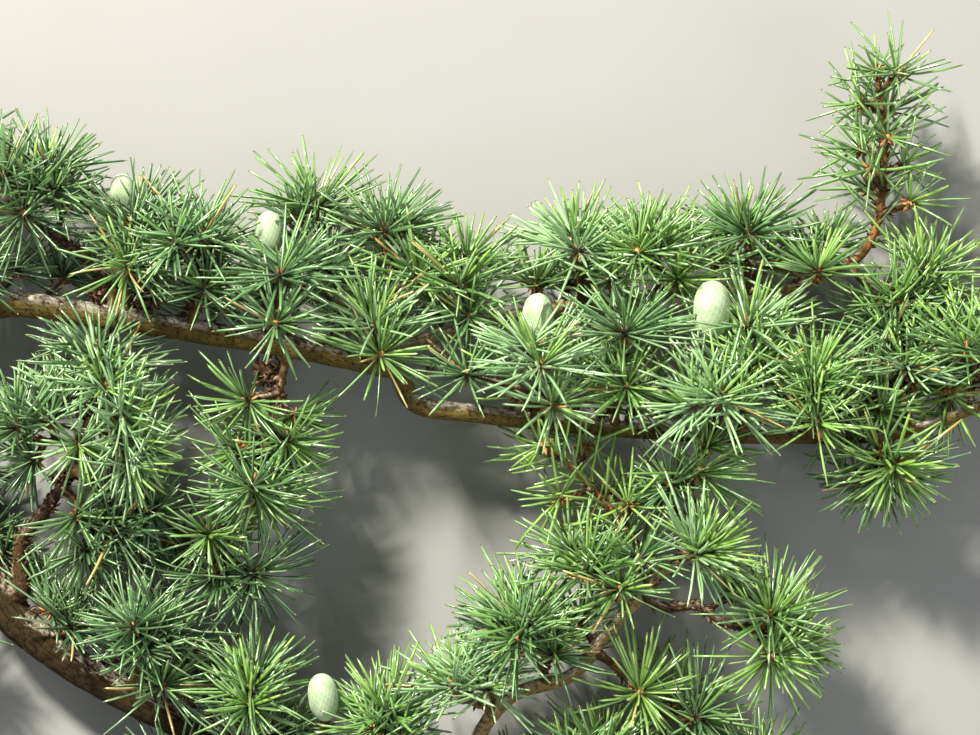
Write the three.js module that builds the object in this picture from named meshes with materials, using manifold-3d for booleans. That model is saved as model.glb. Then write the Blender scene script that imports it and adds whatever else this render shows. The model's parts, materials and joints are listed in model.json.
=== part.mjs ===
// Cut branch of a cedar, lying on the floor with its lit side turned up.
// Lengths are millimetres: X runs along the branch from its cut end, Y across it, and Z up from the floor.
// The limbs carry sprays: a stem with side spurs, each ending in a rosette of needles.

import * as THREE from 'three';
import { mergeVertices } from 'three/addons/utils/BufferGeometryUtils.js';
import Module from 'manifold-3d';

const wasm = await Module();
wasm.setup();

// Gaps and tolerances
const JOINT_GAP = 0.35;
const CLEAR = 0.4;
const WELD = 1e-4;
const JOIN_TOLERANCE = 0.05;
const PARALLEL = 1e-9;

// Limbs
const LIMB_RING_STEP = 11;
const FEWEST_RINGS = 3;
const PIECES_PER_RING = 2;
const NEAREST_STEPS = 200;

// Stems of sprays, and how far their curves run on straight at foot and head
const STEM_FOOT = 1.45;
const STEM_TIP = 0.9;
const STEM_SIDES = 4;
const STEM_RING_STEP = 16;
const STEM_PIECES = 6;
const STEM_BOW = [0.4, 0.35];
const TIP_FIT = 0.92;

// Spurs: where along the stem they branch, how they stand off it, and their rosettes' share of full size
const SPUR_RADIUS = 0.85;
const SPUR_SIDES = 3;
const SPUR_LENGTH = 13;
const SPUR_SHARES = [0.6, 1.25];
const SPUR_RANGE = [0.22, 0.92];
const SPUR_PLACE = [0.2, 0.8];
const SPUR_LEAN = [0.35, 0.75];
const SPUR_STRAY = 1.2;
const SPUR_LIFT = [0, 0.7, 0.25];
const HANGING = [0, -1, 0.2];
const SIDEWAYS = [0.9, -0.1, 0.2];
const SPUR_FREE = 0.4;
const SPUR_ROSETTE = [0.72, 0.95];
const YOUNG_SHARE = 0.7;
const ALSO_SHARE = 0.5;
const FLOOR_ROOM = 9;
const GOLDEN_TURN = Math.PI * (3 - Math.sqrt(5));

// Rosettes: the needles' length, how far they stray, and how far back they still grow
const NEEDLE = 31;
const NEEDLE_SHARES = [0.82, 1.05];
const NEEDLE_SPREAD = 0.16;
const NEEDLE_FORWARD = 0.15;
const NEEDLE_FOOT = 0.95;
const NEEDLE_TIP = 0.05;
const LOWEST_FACE = -0.42;
const CORE = 2.1;

// Single needles along the long shoots
const SINGLE_NEEDLE = 26;
const SINGLE_SHARES = [0.8, 1.1];
const SINGLE_RANGE = [0.3, 0.97];
const SINGLE_RADIUS = 0.95;
const SINGLE_SIDES = 3;
const SINGLE_LEAN = 0.5;

// Fruit: its length and widest radius at full size, and the egg's outline
const FRUIT_LENGTH = 22;
const FRUIT_RADIUS = 6.6;
const FRUIT_RINGS = 6;
const FRUIT_SIDES = 8;
const FRUIT_WAIST = 0.86;
const FRUIT_FULLNESS = 0.62;
const STALK_RADIUS = 1.7;
const STALK_SIDES = 5;
const STALK_RINGS = 4;
const STALK_BOW = 0.45;
const STALK_ROOT = 7;

// Seeds of the numbers that each spray, rosette and shoot draws
const SPUR_SEED = 1000;
const SPUR_SEED_STEP = 37;
const ROSETTE_SEED = 5000;
const ROSETTE_SEED_STEP = 101;
const ROSETTE_HEAD_STEP = 7;
const SINGLE_SEED = 9000;

// Axes, the slope that counts as steep, half the length of a core's piece, and where lit needles begin
const X_AXIS = new THREE.Vector3(1, 0, 0);
const Y_AXIS = new THREE.Vector3(0, 1, 0);
const Z_AXIS = new THREE.Vector3(0, 0, 1);
const STEEP = 0.9;
const BALL_HALF = 0.05;
const LIT_HEIGHT = 50;

// Limbs: the one it springs from, its radius at foot and tip, and the few points that it passes through.
// A limb with no parent starts at its cut, and one that follows goes on from its parent's tip.
const LIMBS = [
  {
    name: 'stem_base', sides: 10, radius: [9.2, 7.9],
    route: [[-272, -25, 9.2], [-250, -26, 11], [-229, -43, 17], [-213, -71, 22], [-196, -95, 25]],
  },
  {
    name: 'stem_far', follows: 'stem_base', sides: 8, radius: [7.6, 3.2],
    route: [[-162, -123, 28], [-116, -147, 28], [-68, -165, 27], [-20, -173, 26], [32, -177, 26],
      [84, -174, 27]],
  },
  {
    name: 'main_near', springs: 'stem_base', sides: 8, radius: [5.7, 4.2],
    route: [[-241, -2, 16], [-224, 17, 28], [-196, 25, 35], [-156, 20.6, 37], [-116, 14.2, 38],
      [-80, 8.2, 38], [-42, 0.2, 38]],
  },
  {
    name: 'main_far', follows: 'main_near', sides: 8, radius: [4.1, 2.0],
    route: [[-30, -14, 38], [-4, -18.6, 38], [56, -25, 38], [113.6, -27.8, 38], [164, -26.2, 39],
      [196, -15, 40], [218, -2, 41]],
  },
  {
    name: 'rear_limb', springs: 'main_near', sides: 6, radius: [2.9, 1.8],
    route: [[-28, 10.2, 30], [4, 19.8, 26], [44, 27, 24], [84, 31, 24], [124, 32.6, 25], [144.8, 42.2, 28]],
  },
  {
    name: 'upper_left_twig', springs: 'main_near', sides: 6, radius: [2.1, 1.4],
    route: [[-155, 37, 39], [-176, 54.2, 41], [-192.4, 65, 42], [-209, 74, 42]],
  },
  {
    name: 'left_rising_twig', springs: 'stem_far', sides: 6, radius: [3.1, 1.4],
    route: [[-187.6, -70, 36], [-176, -55, 40], [-163, -34, 44], [-157, -12, 46]],
  },
  {
    name: 'lower_branch', springs: 'stem_far', sides: 6, radius: [3.2, 2.4],
    route: [[-4, -147, 36], [9.2, -131, 40], [32.8, -122.6, 42], [45.2, -107.4, 43], [61, -90, 44]],
  },
  {
    name: 'lower_riser', follows: 'lower_branch', sides: 6, radius: [2.2, 1.4],
    route: [[66, -84, 44], [75.2, -77.4, 43], [80, -67, 41], [80, -48, 40]],
  },
  {
    name: 'lower_side_twig', springs: 'lower_branch', sides: 6, radius: [2.0, 1.3],
    route: [[70, -95.5, 46], [82.8, -95, 47], [91.2, -101, 47], [104, -104, 47]],
  },
];

// Sprays: the limb each springs from, where its leading rosette stands, which way that faces,
// and how many spurs branch off its stem. One on a tip goes on from the limb's tip, and some have
// also a second rosette at a set place, single needles, a set bow, a thicker foot, a place that they
// spring near, or spurs that turn another way than up. The rosettes of a young shoot are smaller.
const SPRAYS = [
  {
    name: 'far_left_spray', limb: 'upper_left_twig', tip: true,
    head: [-220, 82, 46], faces: [-5, 8, 3], spurs: 2,
  },
  {
    name: 'left_top_spray', limb: 'upper_left_twig',
    head: [-180, 70, 56], faces: [-1, 9, 3], spurs: 3,
  },
  { name: 'left_outer_spray', limb: 'main_near', head: [-222, 46, 44], faces: [-6, 8, 3], spurs: 2 },
  { name: 'left_fruit_spray', limb: 'main_near', head: [-142, 56, 52], faces: [0, 9, 3], spurs: 2 },
  { name: 'left_star_spray', limb: 'main_near', head: [-113.6, 51, 60], faces: [0, 8, 5], spurs: 3 },
  { name: 'left_rear_spray', limb: 'main_near', head: [-70, 64, 32], faces: [1, 9, 2], spurs: 2 },
  { name: 'middle_star_spray', limb: 'main_near', head: [-82.4, 35.8, 64], faces: [0, 8, 5], spurs: 2 },
  { name: 'fork_spray', limb: 'main_near', head: [-45.6, 16, 56], faces: [1, 8, 4], spurs: 2 },
  { name: 'fork_rear_spray', limb: 'rear_limb', head: [-42, 54, 40], faces: [-1, 9, 2], spurs: 2 },
  { name: 'rear_first_spray', limb: 'rear_limb', head: [-12, 32, 46], faces: [0, 9, 3], spurs: 2 },
  {
    name: 'middle_great_spray', limb: 'main_far',
    head: [20, 0.5, 70], faces: [0, 7, 6], spurs: 2, also: [-9, -3, 54],
  },
  { name: 'rear_second_spray', limb: 'rear_limb', head: [35.2, 46, 48], faces: [0, 9, 3], spurs: 2 },
  { name: 'middle_right_spray', limb: 'main_far', head: [52.8, 13, 65], faces: [0, 9, 4], spurs: 2 },
  { name: 'rear_third_spray', limb: 'rear_limb', head: [67.2, 46, 42], faces: [1, 9, 3], spurs: 3 },
  { name: 'bright_star_spray', limb: 'main_far', head: [89.6, -12.2, 71], faces: [0, 5, 8], spurs: 2 },
  { name: 'bright_rear_spray', limb: 'main_far', head: [102, 15.8, 54], faces: [0, 9, 3], spurs: 2 },
  {
    name: 'rear_fourth_spray', limb: 'rear_limb',
    head: [103.6, 53, 40], faces: [0, 9, 3], spurs: 2, also: [130, 38, 50],
  },
  { name: 'right_star_spray', limb: 'main_far', head: [128, -3.8, 60], faces: [0, 8, 5], spurs: 2 },
  { name: 'right_inner_spray', limb: 'main_far', head: [160, 12, 42], faces: [0, 9, 3], spurs: 2 },
  { name: 'right_edge_spray', limb: 'main_far', head: [189.2, 7, 55], faces: [-2, 8, 4], spurs: 2 },
  {
    name: 'right_tip_spray', limb: 'main_far', tip: true,
    head: [236, 9, 44], faces: [8, 4, 3], spurs: 3,
  },
  { name: 'right_rear_spray', limb: 'rear_limb', head: [174, 38, 36], faces: [3, 9, 3], spurs: 2 },
  {
    name: 'leader_shoot', limb: 'rear_limb', tip: true,
    head: [154, 118, 42], faces: [-2, 9, 2], spurs: 9, singles: 20, bow: 20, young: true,
  },
  {
    name: 'right_hanging_spray', limb: 'main_far',
    head: [157, -39, 44], faces: [3, -9, 3], spurs: 3, lift: HANGING,
  },
  {
    name: 'long_shoot', limb: 'lower_riser',
    head: [21, -31, 50], faces: [-8, 5, 2], spurs: 5, singles: 18, bow: 20, young: true,
    near: [56, -66, 46],
  },
  {
    name: 'riser_top_spray', limb: 'lower_riser', tip: true,
    head: [82, -42, 50], faces: [7, 6, 3], spurs: 3,
  },
  { name: 'riser_front_spray', limb: 'lower_riser', head: [80, -73, 66], faces: [8, 4, 4], spurs: 2 },
  {
    name: 'lower_left_spray', limb: 'lower_branch',
    head: [-14.4, -127, 54], faces: [-4, 8, 3], spurs: 2,
  },
  {
    name: 'lower_star_spray', limb: 'lower_branch',
    head: [15.6, -101, 60], faces: [0, 9, 3], spurs: 3,
  },
  {
    name: 'lower_inner_spray', limb: 'lower_branch',
    head: [38.8, -81, 54], faces: [-4, 8, 3], spurs: 2,
  },
  {
    name: 'lower_side_spray', limb: 'lower_side_twig', tip: true,
    head: [112, -104, 49], faces: [9, 3, 3], spurs: 3,
  },
  { name: 'lower_low_spray', limb: 'lower_branch', head: [82, -140, 38], faces: [8, 3, 3], spurs: 2 },
  {
    name: 'foot_end_spray', limb: 'stem_far', tip: true,
    head: [108, -169, 38], faces: [8, 4, 4], spurs: 3,
  },
  { name: 'foot_right_spray', limb: 'stem_far', head: [44, -156, 48], faces: [2, 9, 3], spurs: 3 },
  { name: 'foot_middle_spray', limb: 'stem_far', head: [-40, -138, 50], faces: [-2, 9, 3], spurs: 3 },
  { name: 'foot_star_spray', limb: 'stem_far', head: [-94.8, -128, 56], faces: [2, 8, 4], spurs: 2 },
  { name: 'left_low_spray', limb: 'stem_far', head: [-132, -104, 52], faces: [2, 8, 4], spurs: 3 },
  { name: 'foot_under_spray', limb: 'stem_far', head: [-128, -174, 32], faces: [-2, -8, 4], spurs: 2 },
  { name: 'left_under_spray', limb: 'stem_base', head: [-234, -104, 36], faces: [-6, -6, 4], spurs: 2 },
  {
    name: 'left_inner_spray', limb: 'left_rising_twig',
    head: [-94, -82, 46], faces: [6, -4, 5], spurs: 4, thick: 2.2, bow: 22, also: [-108, -68, 40],
    lift: HANGING,
  },
  {
    name: 'left_shade_spray', limb: 'left_rising_twig',
    head: [-150, -64, 50], faces: [8, 1, 3], spurs: 5, lift: SIDEWAYS,
  },
  {
    name: 'left_fan_spray', limb: 'left_rising_twig',
    head: [-146, -26, 58], faces: [8, 2, 4], spurs: 4, lift: SIDEWAYS,
  },
  {
    name: 'left_side_spray', limb: 'left_rising_twig',
    head: [-186, -24, 54], faces: [-5, 8, 3], spurs: 2,
  },
  {
    name: 'left_rising_spray', limb: 'left_rising_twig', tip: true,
    head: [-154, 2, 56], faces: [1, 8, 4], spurs: 2,
  },
  {
    name: 'hanging_spray', limb: 'main_near',
    head: [-91, -50, 50], faces: [0, -8, 4], spurs: 6, lift: HANGING,
  },
];

// Young upright fruit: the limb that carries it, its foot, which way it points, and its share of full size.
const FRUIT = [
  { name: 'fruit_left', limb: 'main_near', foot: [-147, 61, 36], points: [0, 9, 2], size: 0.76 },
  { name: 'fruit_rear', limb: 'main_near', foot: [-88, 44, 42], points: [0, 9, 2], size: 0.84 },
  { name: 'fruit_middle', limb: 'rear_limb', foot: [19, 9, 50], points: [0, 9, 3], size: 0.96 },
  { name: 'fruit_right', limb: 'rear_limb', foot: [87.6, 11, 52], points: [0, 9, 3], size: 1.1 },
  { name: 'fruit_lower', limb: 'stem_far', foot: [-65, -140, 50], points: [-1, 9, 3], size: 0.9 },
];

const BARK = new THREE.Color(0x6d5c46);
const NEEDLES = new THREE.Color(0x4c7a45);
const NEEDLES_SHADE = new THREE.Color(0x3c6a55);
const FRUIT_SKIN = new THREE.Color(0xb9cf9f);
const BARK_ROUGHNESS = 0.9;
const SKIN_ROUGHNESS = 0.6;

// Factor, step and range of the seeded numbers
const DRAW_FACTOR = 1664525;
const DRAW_STEP = 1013904223;
const DRAW_RANGE = 2 ** 32;

// Same numbers each time for one seed.
function seeded(seed) {
  let state = seed >>> 0;
  return () => {
    state = (Math.imul(state, DRAW_FACTOR) + DRAW_STEP) >>> 0;
    return state / DRAW_RANGE;
  };
}

const vector = (place) => new THREE.Vector3(...place);

const direction = (place) => vector(place).normalize();

const blend = (from, to, share) => from + (to - from) * share;

const onward = (start, along, distance) => start.clone().addScaledVector(along, distance);

// Part of a direction that is square to an axis, as a unit vector.
function squareTo(axis, towards) {
  return onward(towards, axis, -towards.dot(axis)).normalize();
}

// Unit vector square to an axis: the one nearest upright, unless the axis is steep.
function sideOf(axis) {
  return squareTo(axis, Math.abs(axis.z) < STEEP ? Z_AXIS : X_AXIS);
}

// Direction that stands off an axis at a turn round it, and leans along it.
function turnedOff(axis, side, turn, lean) {
  const up = new THREE.Vector3().crossVectors(axis, side);
  const out = side.clone().multiplyScalar(Math.cos(turn));
  return out.addScaledVector(up, Math.sin(turn)).addScaledVector(axis, lean).normalize();
}

// Closest distance of two straight pieces, less the radii that they have there.
function clearance(one, other) {
  const along = one.end.clone().sub(one.start);
  const across = other.end.clone().sub(other.start);
  const between = one.start.clone().sub(other.start);
  const a = along.dot(along);
  const e = across.dot(across);
  const b = along.dot(across);
  const c = along.dot(between);
  const f = across.dot(between);
  const denominator = a * e - b * b;
  const clamp = (value) => Math.min(1, Math.max(0, value));
  let s = denominator > PARALLEL ? clamp((b * f - c * e) / denominator) : 0;
  let t = (b * s + f) / e;
  if (t < 0) {
    t = 0;
    s = clamp(-c / a);
  } else if (t > 1) {
    t = 1;
    s = clamp((b - c) / a);
  }
  const near = onward(one.start, along, s);
  const far = onward(other.start, across, t);
  return near.distanceTo(far) - blend(one.foot, one.tip, s) - blend(other.foot, other.tip, t);
}

// Whether a piece keeps clear of all that has its place already, but for what it grows on.
function isClear(piece, taken, owner) {
  return taken.every((other) => other.owner === owner || clearance(piece, other) > CLEAR);
}

// Straight pieces that a curved stem or limb is taken as when something has to stay clear of it.
function piecesOf(curve, radius, count, owner) {
  const pieces = [];
  for (let i = 0; i < count; i += 1) {
    pieces.push({
      start: curve.getPointAt(i / count),
      end: curve.getPointAt((i + 1) / count),
      foot: blend(...radius, i / count),
      tip: blend(...radius, (i + 1) / count),
      owner,
    });
  }
  return pieces;
}

// A rosette's core as something to stay clear of.
function coreBall(centre, owner) {
  return {
    start: onward(centre, Z_AXIS, -BALL_HALF),
    end: onward(centre, Z_AXIS, BALL_HALF),
    foot: CORE,
    tip: CORE,
    owner,
  };
}

// A cylinder bent along a curve, tapering from its foot to its tip. Its foot is square to `facing`.
function bentTaper(curve, radius, sides, rings, facing) {
  const shape = new THREE.CylinderGeometry(1, 1, 1, sides, rings);
  const places = shape.getAttribute('position');
  const frames = [];
  let side = null;
  for (let i = 0; i <= rings; i += 1) {
    const along = i === 0 ? facing : curve.getTangentAt(i / rings);
    side = side ? squareTo(along, side) : sideOf(along);
    frames.push({
      centre: curve.getPointAt(i / rings),
      side,
      up: new THREE.Vector3().crossVectors(along, side),
      radius: blend(...radius, i / rings),
    });
  }
  for (let i = 0; i < places.count; i += 1) {
    const frame = frames[Math.round((places.getY(i) + 0.5) * rings)];
    const point = onward(frame.centre, frame.side, places.getZ(i) * frame.radius);
    point.addScaledVector(frame.up, places.getX(i) * frame.radius);
    places.setXYZ(i, ...point.toArray());
  }
  return shape;
}

// Joined vertices, with nothing left on them but their places.
function plain(shape) {
  const bare = shape.clone();
  bare.deleteAttribute('normal');
  bare.deleteAttribute('uv');
  return mergeVertices(bare, WELD);
}

function toSolid(shape) {
  const bare = plain(shape);
  return new wasm.Manifold(new wasm.Mesh({
    numProp: 3,
    vertProperties: new Float32Array(bare.getAttribute('position').array),
    triVerts: new Uint32Array(bare.getIndex().array),
  }));
}

// Fuses shapes into one body and drops any scrap that came loose.
function fuse(shapes) {
  const whole = wasm.Manifold.union(shapes.map(toSolid));
  const bodies = whole.decompose().sort((one, other) => other.volume() - one.volume());
  const mesh = bodies[0].simplify(JOIN_TOLERANCE).getMesh();
  const fused = new THREE.BufferGeometry();
  fused.setAttribute('position', new THREE.BufferAttribute(new Float32Array(mesh.vertProperties), 3));
  fused.setIndex(new THREE.BufferAttribute(new Uint32Array(mesh.triVerts), 1));
  fused.computeVertexNormals();
  return fused;
}

function asMesh(name, shape, color, roughness) {
  const mesh = new THREE.Mesh(shape, new THREE.MeshStandardMaterial({ color, roughness, metalness: 0 }));
  mesh.name = name;
  return mesh;
}

// Where a limb passes nearest to a place, looked for at even steps.
function nearestOn(limb, place) {
  let best = 0;
  let least = Infinity;
  for (let i = 0; i <= NEAREST_STEPS; i += 1) {
    const distance = limb.curve.getPointAt(i / NEAREST_STEPS).distanceTo(place);
    if (distance < least) {
      least = distance;
      best = i / NEAREST_STEPS;
    }
  }
  return best;
}

// Foot of something that springs from a limb's side, a little clear of its bark, on the side of `place`.
function footOnSide(limb, place) {
  const share = nearestOn(limb, place);
  const middle = limb.curve.getPointAt(share);
  const facing = squareTo(limb.curve.getTangentAt(share), place.clone().sub(middle));
  return { start: onward(middle, facing, blend(...limb.radius, share) + JOINT_GAP), facing };
}

// Foot of something that goes on from a limb's tip.
function footOnTip(limb) {
  const facing = limb.curve.getTangentAt(1);
  return { start: onward(limb.curve.getPointAt(1), facing, JOINT_GAP), facing };
}

// What has its place before any spray does.
const limbs = new Map();
const obstacles = [];

// Limb: a bent taper through its few points. It leaves its parent straight, for as far as it is thick.
function growLimb(row) {
  const route = row.route.map(vector);
  const parent = limbs.get(row.springs ?? row.follows);
  let facing = X_AXIS;
  if (parent) {
    const foot = row.springs ? footOnSide(parent, route[0]) : footOnTip(parent);
    facing = foot.facing;
    route.unshift(foot.start, onward(foot.start, facing, row.radius[0]));
  }
  const curve = new THREE.CatmullRomCurve3(route, false, 'centripetal');
  const rings = Math.max(FEWEST_RINGS, Math.round(curve.getLength() / LIMB_RING_STEP));
  limbs.set(row.name, { curve, radius: row.radius });
  obstacles.push(...piecesOf(curve, row.radius, rings * PIECES_PER_RING, row.name));
  return asMesh(row.name, bentTaper(curve, row.radius, row.sides, rings, facing), BARK, BARK_ROUGHNESS);
}

// Curve that leaves its foot and reaches its head straight, and bends between them.
function bentBetween(foot, head, faces, bow) {
  return new THREE.CubicBezierCurve3(
    foot.start,
    onward(foot.start, foot.facing, bow[0]),
    onward(head, faces, -bow[1]),
    head,
  );
}

// Young fruit: an egg with a blunt top on a short bent stalk.
function growFruit(row) {
  const seat = vector(row.foot);
  const points = direction(row.points);
  const foot = footOnSide(limbs.get(row.limb), seat);
  const bow = seat.distanceTo(foot.start) * STALK_BOW;
  const stalk = bentBetween(foot, onward(seat, points, STALK_ROOT), points, [bow, bow]);
  const length = FRUIT_LENGTH * row.size;
  const widest = FRUIT_RADIUS * row.size;
  const outline = [new THREE.Vector2(0, 0)];
  for (let i = 1; i < FRUIT_RINGS; i += 1) {
    const share = i / FRUIT_RINGS;
    const round = Math.sin(Math.PI * share ** FRUIT_WAIST) ** FRUIT_FULLNESS;
    outline.push(new THREE.Vector2(widest * round, length * share));
  }
  outline.push(new THREE.Vector2(0, length));
  const egg = new THREE.LatheGeometry(outline, FRUIT_SIDES);
  egg.applyQuaternion(new THREE.Quaternion().setFromUnitVectors(Y_AXIS, points));
  egg.translate(...seat.toArray());
  const radius = [STALK_RADIUS, STALK_RADIUS];
  obstacles.push(...piecesOf(stalk, radius, STALK_RINGS, row.name));
  obstacles.push({
    start: onward(seat, points, widest),
    end: onward(seat, points, length - widest),
    foot: widest,
    tip: widest,
    owner: row.name,
  });
  const shapes = [egg, bentTaper(stalk, radius, STALK_SIDES, STALK_RINGS, foot.facing)];
  return asMesh(row.name, fuse(shapes), FRUIT_SKIN, SKIN_ROUGHNESS);
}

// Stem of a spray, from its foot on the limb round to its leading rosette.
function growStem(row) {
  const head = vector(row.head);
  const limb = limbs.get(row.limb);
  const foot = row.tip ? footOnTip(limb) : footOnSide(limb, vector(row.near ?? row.head));
  const thick = row.tip ? limb.radius[1] * TIP_FIT : row.thick ?? STEM_FOOT;
  const reach = head.distanceTo(foot.start);
  const bow = STEM_BOW.map((share) => row.bow ?? reach * share);
  const rings = Math.max(FEWEST_RINGS, Math.round(reach / STEM_RING_STEP));
  const curve = bentBetween(foot, head, direction(row.faces), bow);
  return { curve, radius: [thick, STEM_TIP], facing: foot.facing, rings };
}

// Spurs turn round the stem by the golden angle, lean forward, and most lift towards the light.
function growSpurs(row, stem, random) {
  const spurs = [];
  if (row.also) {
    const start = stem.curve.getPointAt(ALSO_SHARE);
    spurs.push({ start, end: vector(row.also), faces: direction(row.faces) });
  }
  for (let k = 0; k < row.spurs; k += 1) {
    const share = blend(...SPUR_RANGE, (k + blend(...SPUR_PLACE, random())) / row.spurs);
    const turn = k * GOLDEN_TURN + random() * SPUR_STRAY;
    const lean = blend(...SPUR_LEAN, random());
    const length = SPUR_LENGTH * blend(...SPUR_SHARES, random());
    const along = stem.curve.getTangentAt(share);
    const start = stem.curve.getPointAt(share);
    const out = turnedOff(along, sideOf(along), turn, lean);
    if (start.z + out.z * length < FLOOR_ROOM) {
      out.z = Math.abs(out.z);
    }
    const faces = out.clone().add(vector(row.lift ?? SPUR_LIFT)).normalize();
    spurs.push({ start, end: onward(start, out, length), faces });
  }
  return spurs;
}

// Core of a rosette: a small ball of 20 faces turned so that a corner leads.
function coreShape(centre, faces, turn) {
  const ball = plain(new THREE.IcosahedronGeometry(CORE, 0));
  const corner = new THREE.Vector3().fromBufferAttribute(ball.getAttribute('position'), 0).normalize();
  ball.applyQuaternion(new THREE.Quaternion().setFromUnitVectors(corner, faces));
  ball.applyQuaternion(new THREE.Quaternion().setFromAxisAngle(faces, turn));
  ball.translate(...centre.toArray());
  return ball;
}

// Rosette: needles drawn out of those faces of the core that look forward or sideways.
// A needle that would pass through the floor lies down on it, and one that meets anything is left out.
function growRosette(rosette, taken, seed) {
  const random = seeded(seed);
  const ball = coreShape(rosette.centre, rosette.faces, random() * 2 * Math.PI);
  const corners = ball.getAttribute('position');
  const order = ball.getIndex();
  const places = Array.from(corners.array);
  const triangles = [];
  for (let i = 0; i < order.count; i += 3) {
    const face = [order.getX(i), order.getX(i + 1), order.getX(i + 2)];
    const middle = new THREE.Vector3();
    face.forEach((corner) => middle.add(new THREE.Vector3().fromBufferAttribute(corners, corner)));
    middle.divideScalar(face.length);
    const out = middle.clone().sub(rosette.centre).normalize();
    const forward = out.dot(rosette.faces);
    const stray = new THREE.Vector3(random() - 0.5, random() - 0.5, random() - 0.5);
    const length = NEEDLE * rosette.size * blend(...NEEDLE_SHARES, random());
    out.addScaledVector(rosette.faces, NEEDLE_FORWARD).addScaledVector(stray, 2 * NEEDLE_SPREAD);
    out.normalize();
    const point = onward(middle, out, length);
    if (point.z < 0) {
      point.lerp(middle, point.z / (point.z - middle.z));
      point.z = 0;
    }
    const needle = { start: middle, end: point, foot: NEEDLE_FOOT, tip: NEEDLE_TIP, owner: rosette };
    if (forward > LOWEST_FACE && isClear(needle, taken, rosette)) {
      taken.push(needle);
      const apex = places.length / 3;
      places.push(...point.toArray());
      triangles.push(face[0], face[1], apex, face[1], face[2], apex, face[2], face[0], apex);
    } else {
      triangles.push(...face);
    }
  }
  const shape = new THREE.BufferGeometry();
  shape.setAttribute('position', new THREE.BufferAttribute(new Float32Array(places), 3));
  shape.setIndex(triangles);
  return shape;
}

// Single needles that stand round the outer part of a shoot.
function growSingles(row, stem, taken, seed) {
  const random = seeded(seed);
  const shapes = [];
  const count = row.singles ?? 0;
  for (let k = 0; k < count; k += 1) {
    const share = blend(...SINGLE_RANGE, (k + random()) / count);
    const length = SINGLE_NEEDLE * blend(...SINGLE_SHARES, random());
    const along = stem.curve.getTangentAt(share);
    const start = stem.curve.getPointAt(share);
    const out = turnedOff(along, sideOf(along), k * GOLDEN_TURN, SINGLE_LEAN);
    const surface = onward(start, out, STEM_FOOT + CLEAR);
    const end = onward(start, out, length);
    const needle = { start: surface, end, foot: SINGLE_RADIUS, tip: NEEDLE_TIP, owner: surface };
    if (end.z > 0 && isClear(needle, taken, stem)) {
      taken.push(needle);
      const spike = new THREE.ConeGeometry(SINGLE_RADIUS, length, SINGLE_SIDES);
      spike.translate(0, length / 2, 0);
      spike.applyQuaternion(new THREE.Quaternion().setFromUnitVectors(Y_AXIS, out));
      spike.translate(...start.toArray());
      shapes.push(spike);
    }
  }
  return shapes;
}

const fullSize = (row) => (row.young ? YOUNG_SHARE : 1);

// Every stem and leading core takes its place first, then the spurs with theirs, and the needles last.
function laySprays() {
  const taken = [...obstacles];
  const sprays = SPRAYS.map((row) => {
    const stem = growStem(row);
    const head = { centre: vector(row.head), faces: direction(row.faces), size: fullSize(row) };
    const pieces = piecesOf(stem.curve, stem.radius, STEM_PIECES, stem);
    pieces.at(-1).owner = head;
    taken.push(...pieces, coreBall(head.centre, head));
    return { row, stem, heads: [head], twigs: [], own: [stem, head] };
  });
  sprays.forEach(({ row, stem, heads, twigs, own }, index) => {
    const random = seeded(SPUR_SEED + SPUR_SEED_STEP * index);
    growSpurs(row, stem, random).forEach((spur) => {
      const size = fullSize(row) * blend(...SPUR_ROSETTE, random());
      const head = { centre: spur.end, faces: spur.faces, size };
      const twig = { start: spur.start, end: spur.end, foot: SPUR_RADIUS, tip: SPUR_RADIUS, owner: head };
      const free = { ...twig, start: spur.start.clone().lerp(spur.end, SPUR_FREE) };
      const core = coreBall(spur.end, head);
      const others = taken.filter((other) => !own.includes(other.owner));
      if (isClear(twig, others) && isClear(core, taken) && isClear(free, taken)) {
        taken.push(twig, core);
        twigs.push(spur);
        heads.push(head);
        own.push(head);
      }
    });
  });
  return { sprays, taken };
}

function buildSpray({ row, stem, twigs, heads }, taken, index) {
  const shapes = [bentTaper(stem.curve, stem.radius, STEM_SIDES, stem.rings, stem.facing)];
  twigs.forEach((spur) => {
    const twig = new THREE.LineCurve3(spur.start, spur.end);
    const facing = spur.end.clone().sub(spur.start).normalize();
    shapes.push(bentTaper(twig, [SPUR_RADIUS, SPUR_RADIUS], SPUR_SIDES, 1, facing));
  });
  const seed = ROSETTE_SEED + ROSETTE_SEED_STEP * index;
  heads.forEach((head, k) => shapes.push(growRosette(head, taken, seed + ROSETTE_HEAD_STEP * k)));
  shapes.push(...growSingles(row, stem, taken, SINGLE_SEED + index));
  const color = row.head[2] < LIT_HEIGHT ? NEEDLES_SHADE : NEEDLES;
  return asMesh(row.name, fuse(shapes), color, SKIN_ROUGHNESS);
}

const branch = new THREE.Group();
LIMBS.forEach((row) => branch.add(growLimb(row)));
FRUIT.forEach((row) => branch.add(growFruit(row)));
const { sprays, taken } = laySprays();
sprays.forEach((spray, index) => branch.add(buildSpray(spray, taken, index)));

// The origin is under the middle of the whole branch, on the floor.
const bounds = new THREE.Box3().setFromObject(branch);
const middle = bounds.getCenter(new THREE.Vector3());
branch.position.set(-middle.x, -middle.y, -bounds.min.z);

export default branch;
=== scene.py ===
"""Looks of a cut cedar branch that lies on the floor: bark, shoots, needles, buds and young fruit.

Growth is worked out in millimetres, in the branch's own growing frame, by the rule that its solids
follow: the limbs first, then each spray's stem, then the spurs on it, drawn from the same seeds.
Finer spurs are drawn after them, so they find their room in what the others leave. Meshes are made
in metres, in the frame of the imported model.
"""

import json
import logging
import math
from dataclasses import dataclass, field
from enum import Enum, IntEnum
from typing import Iterable, Sequence

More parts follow.
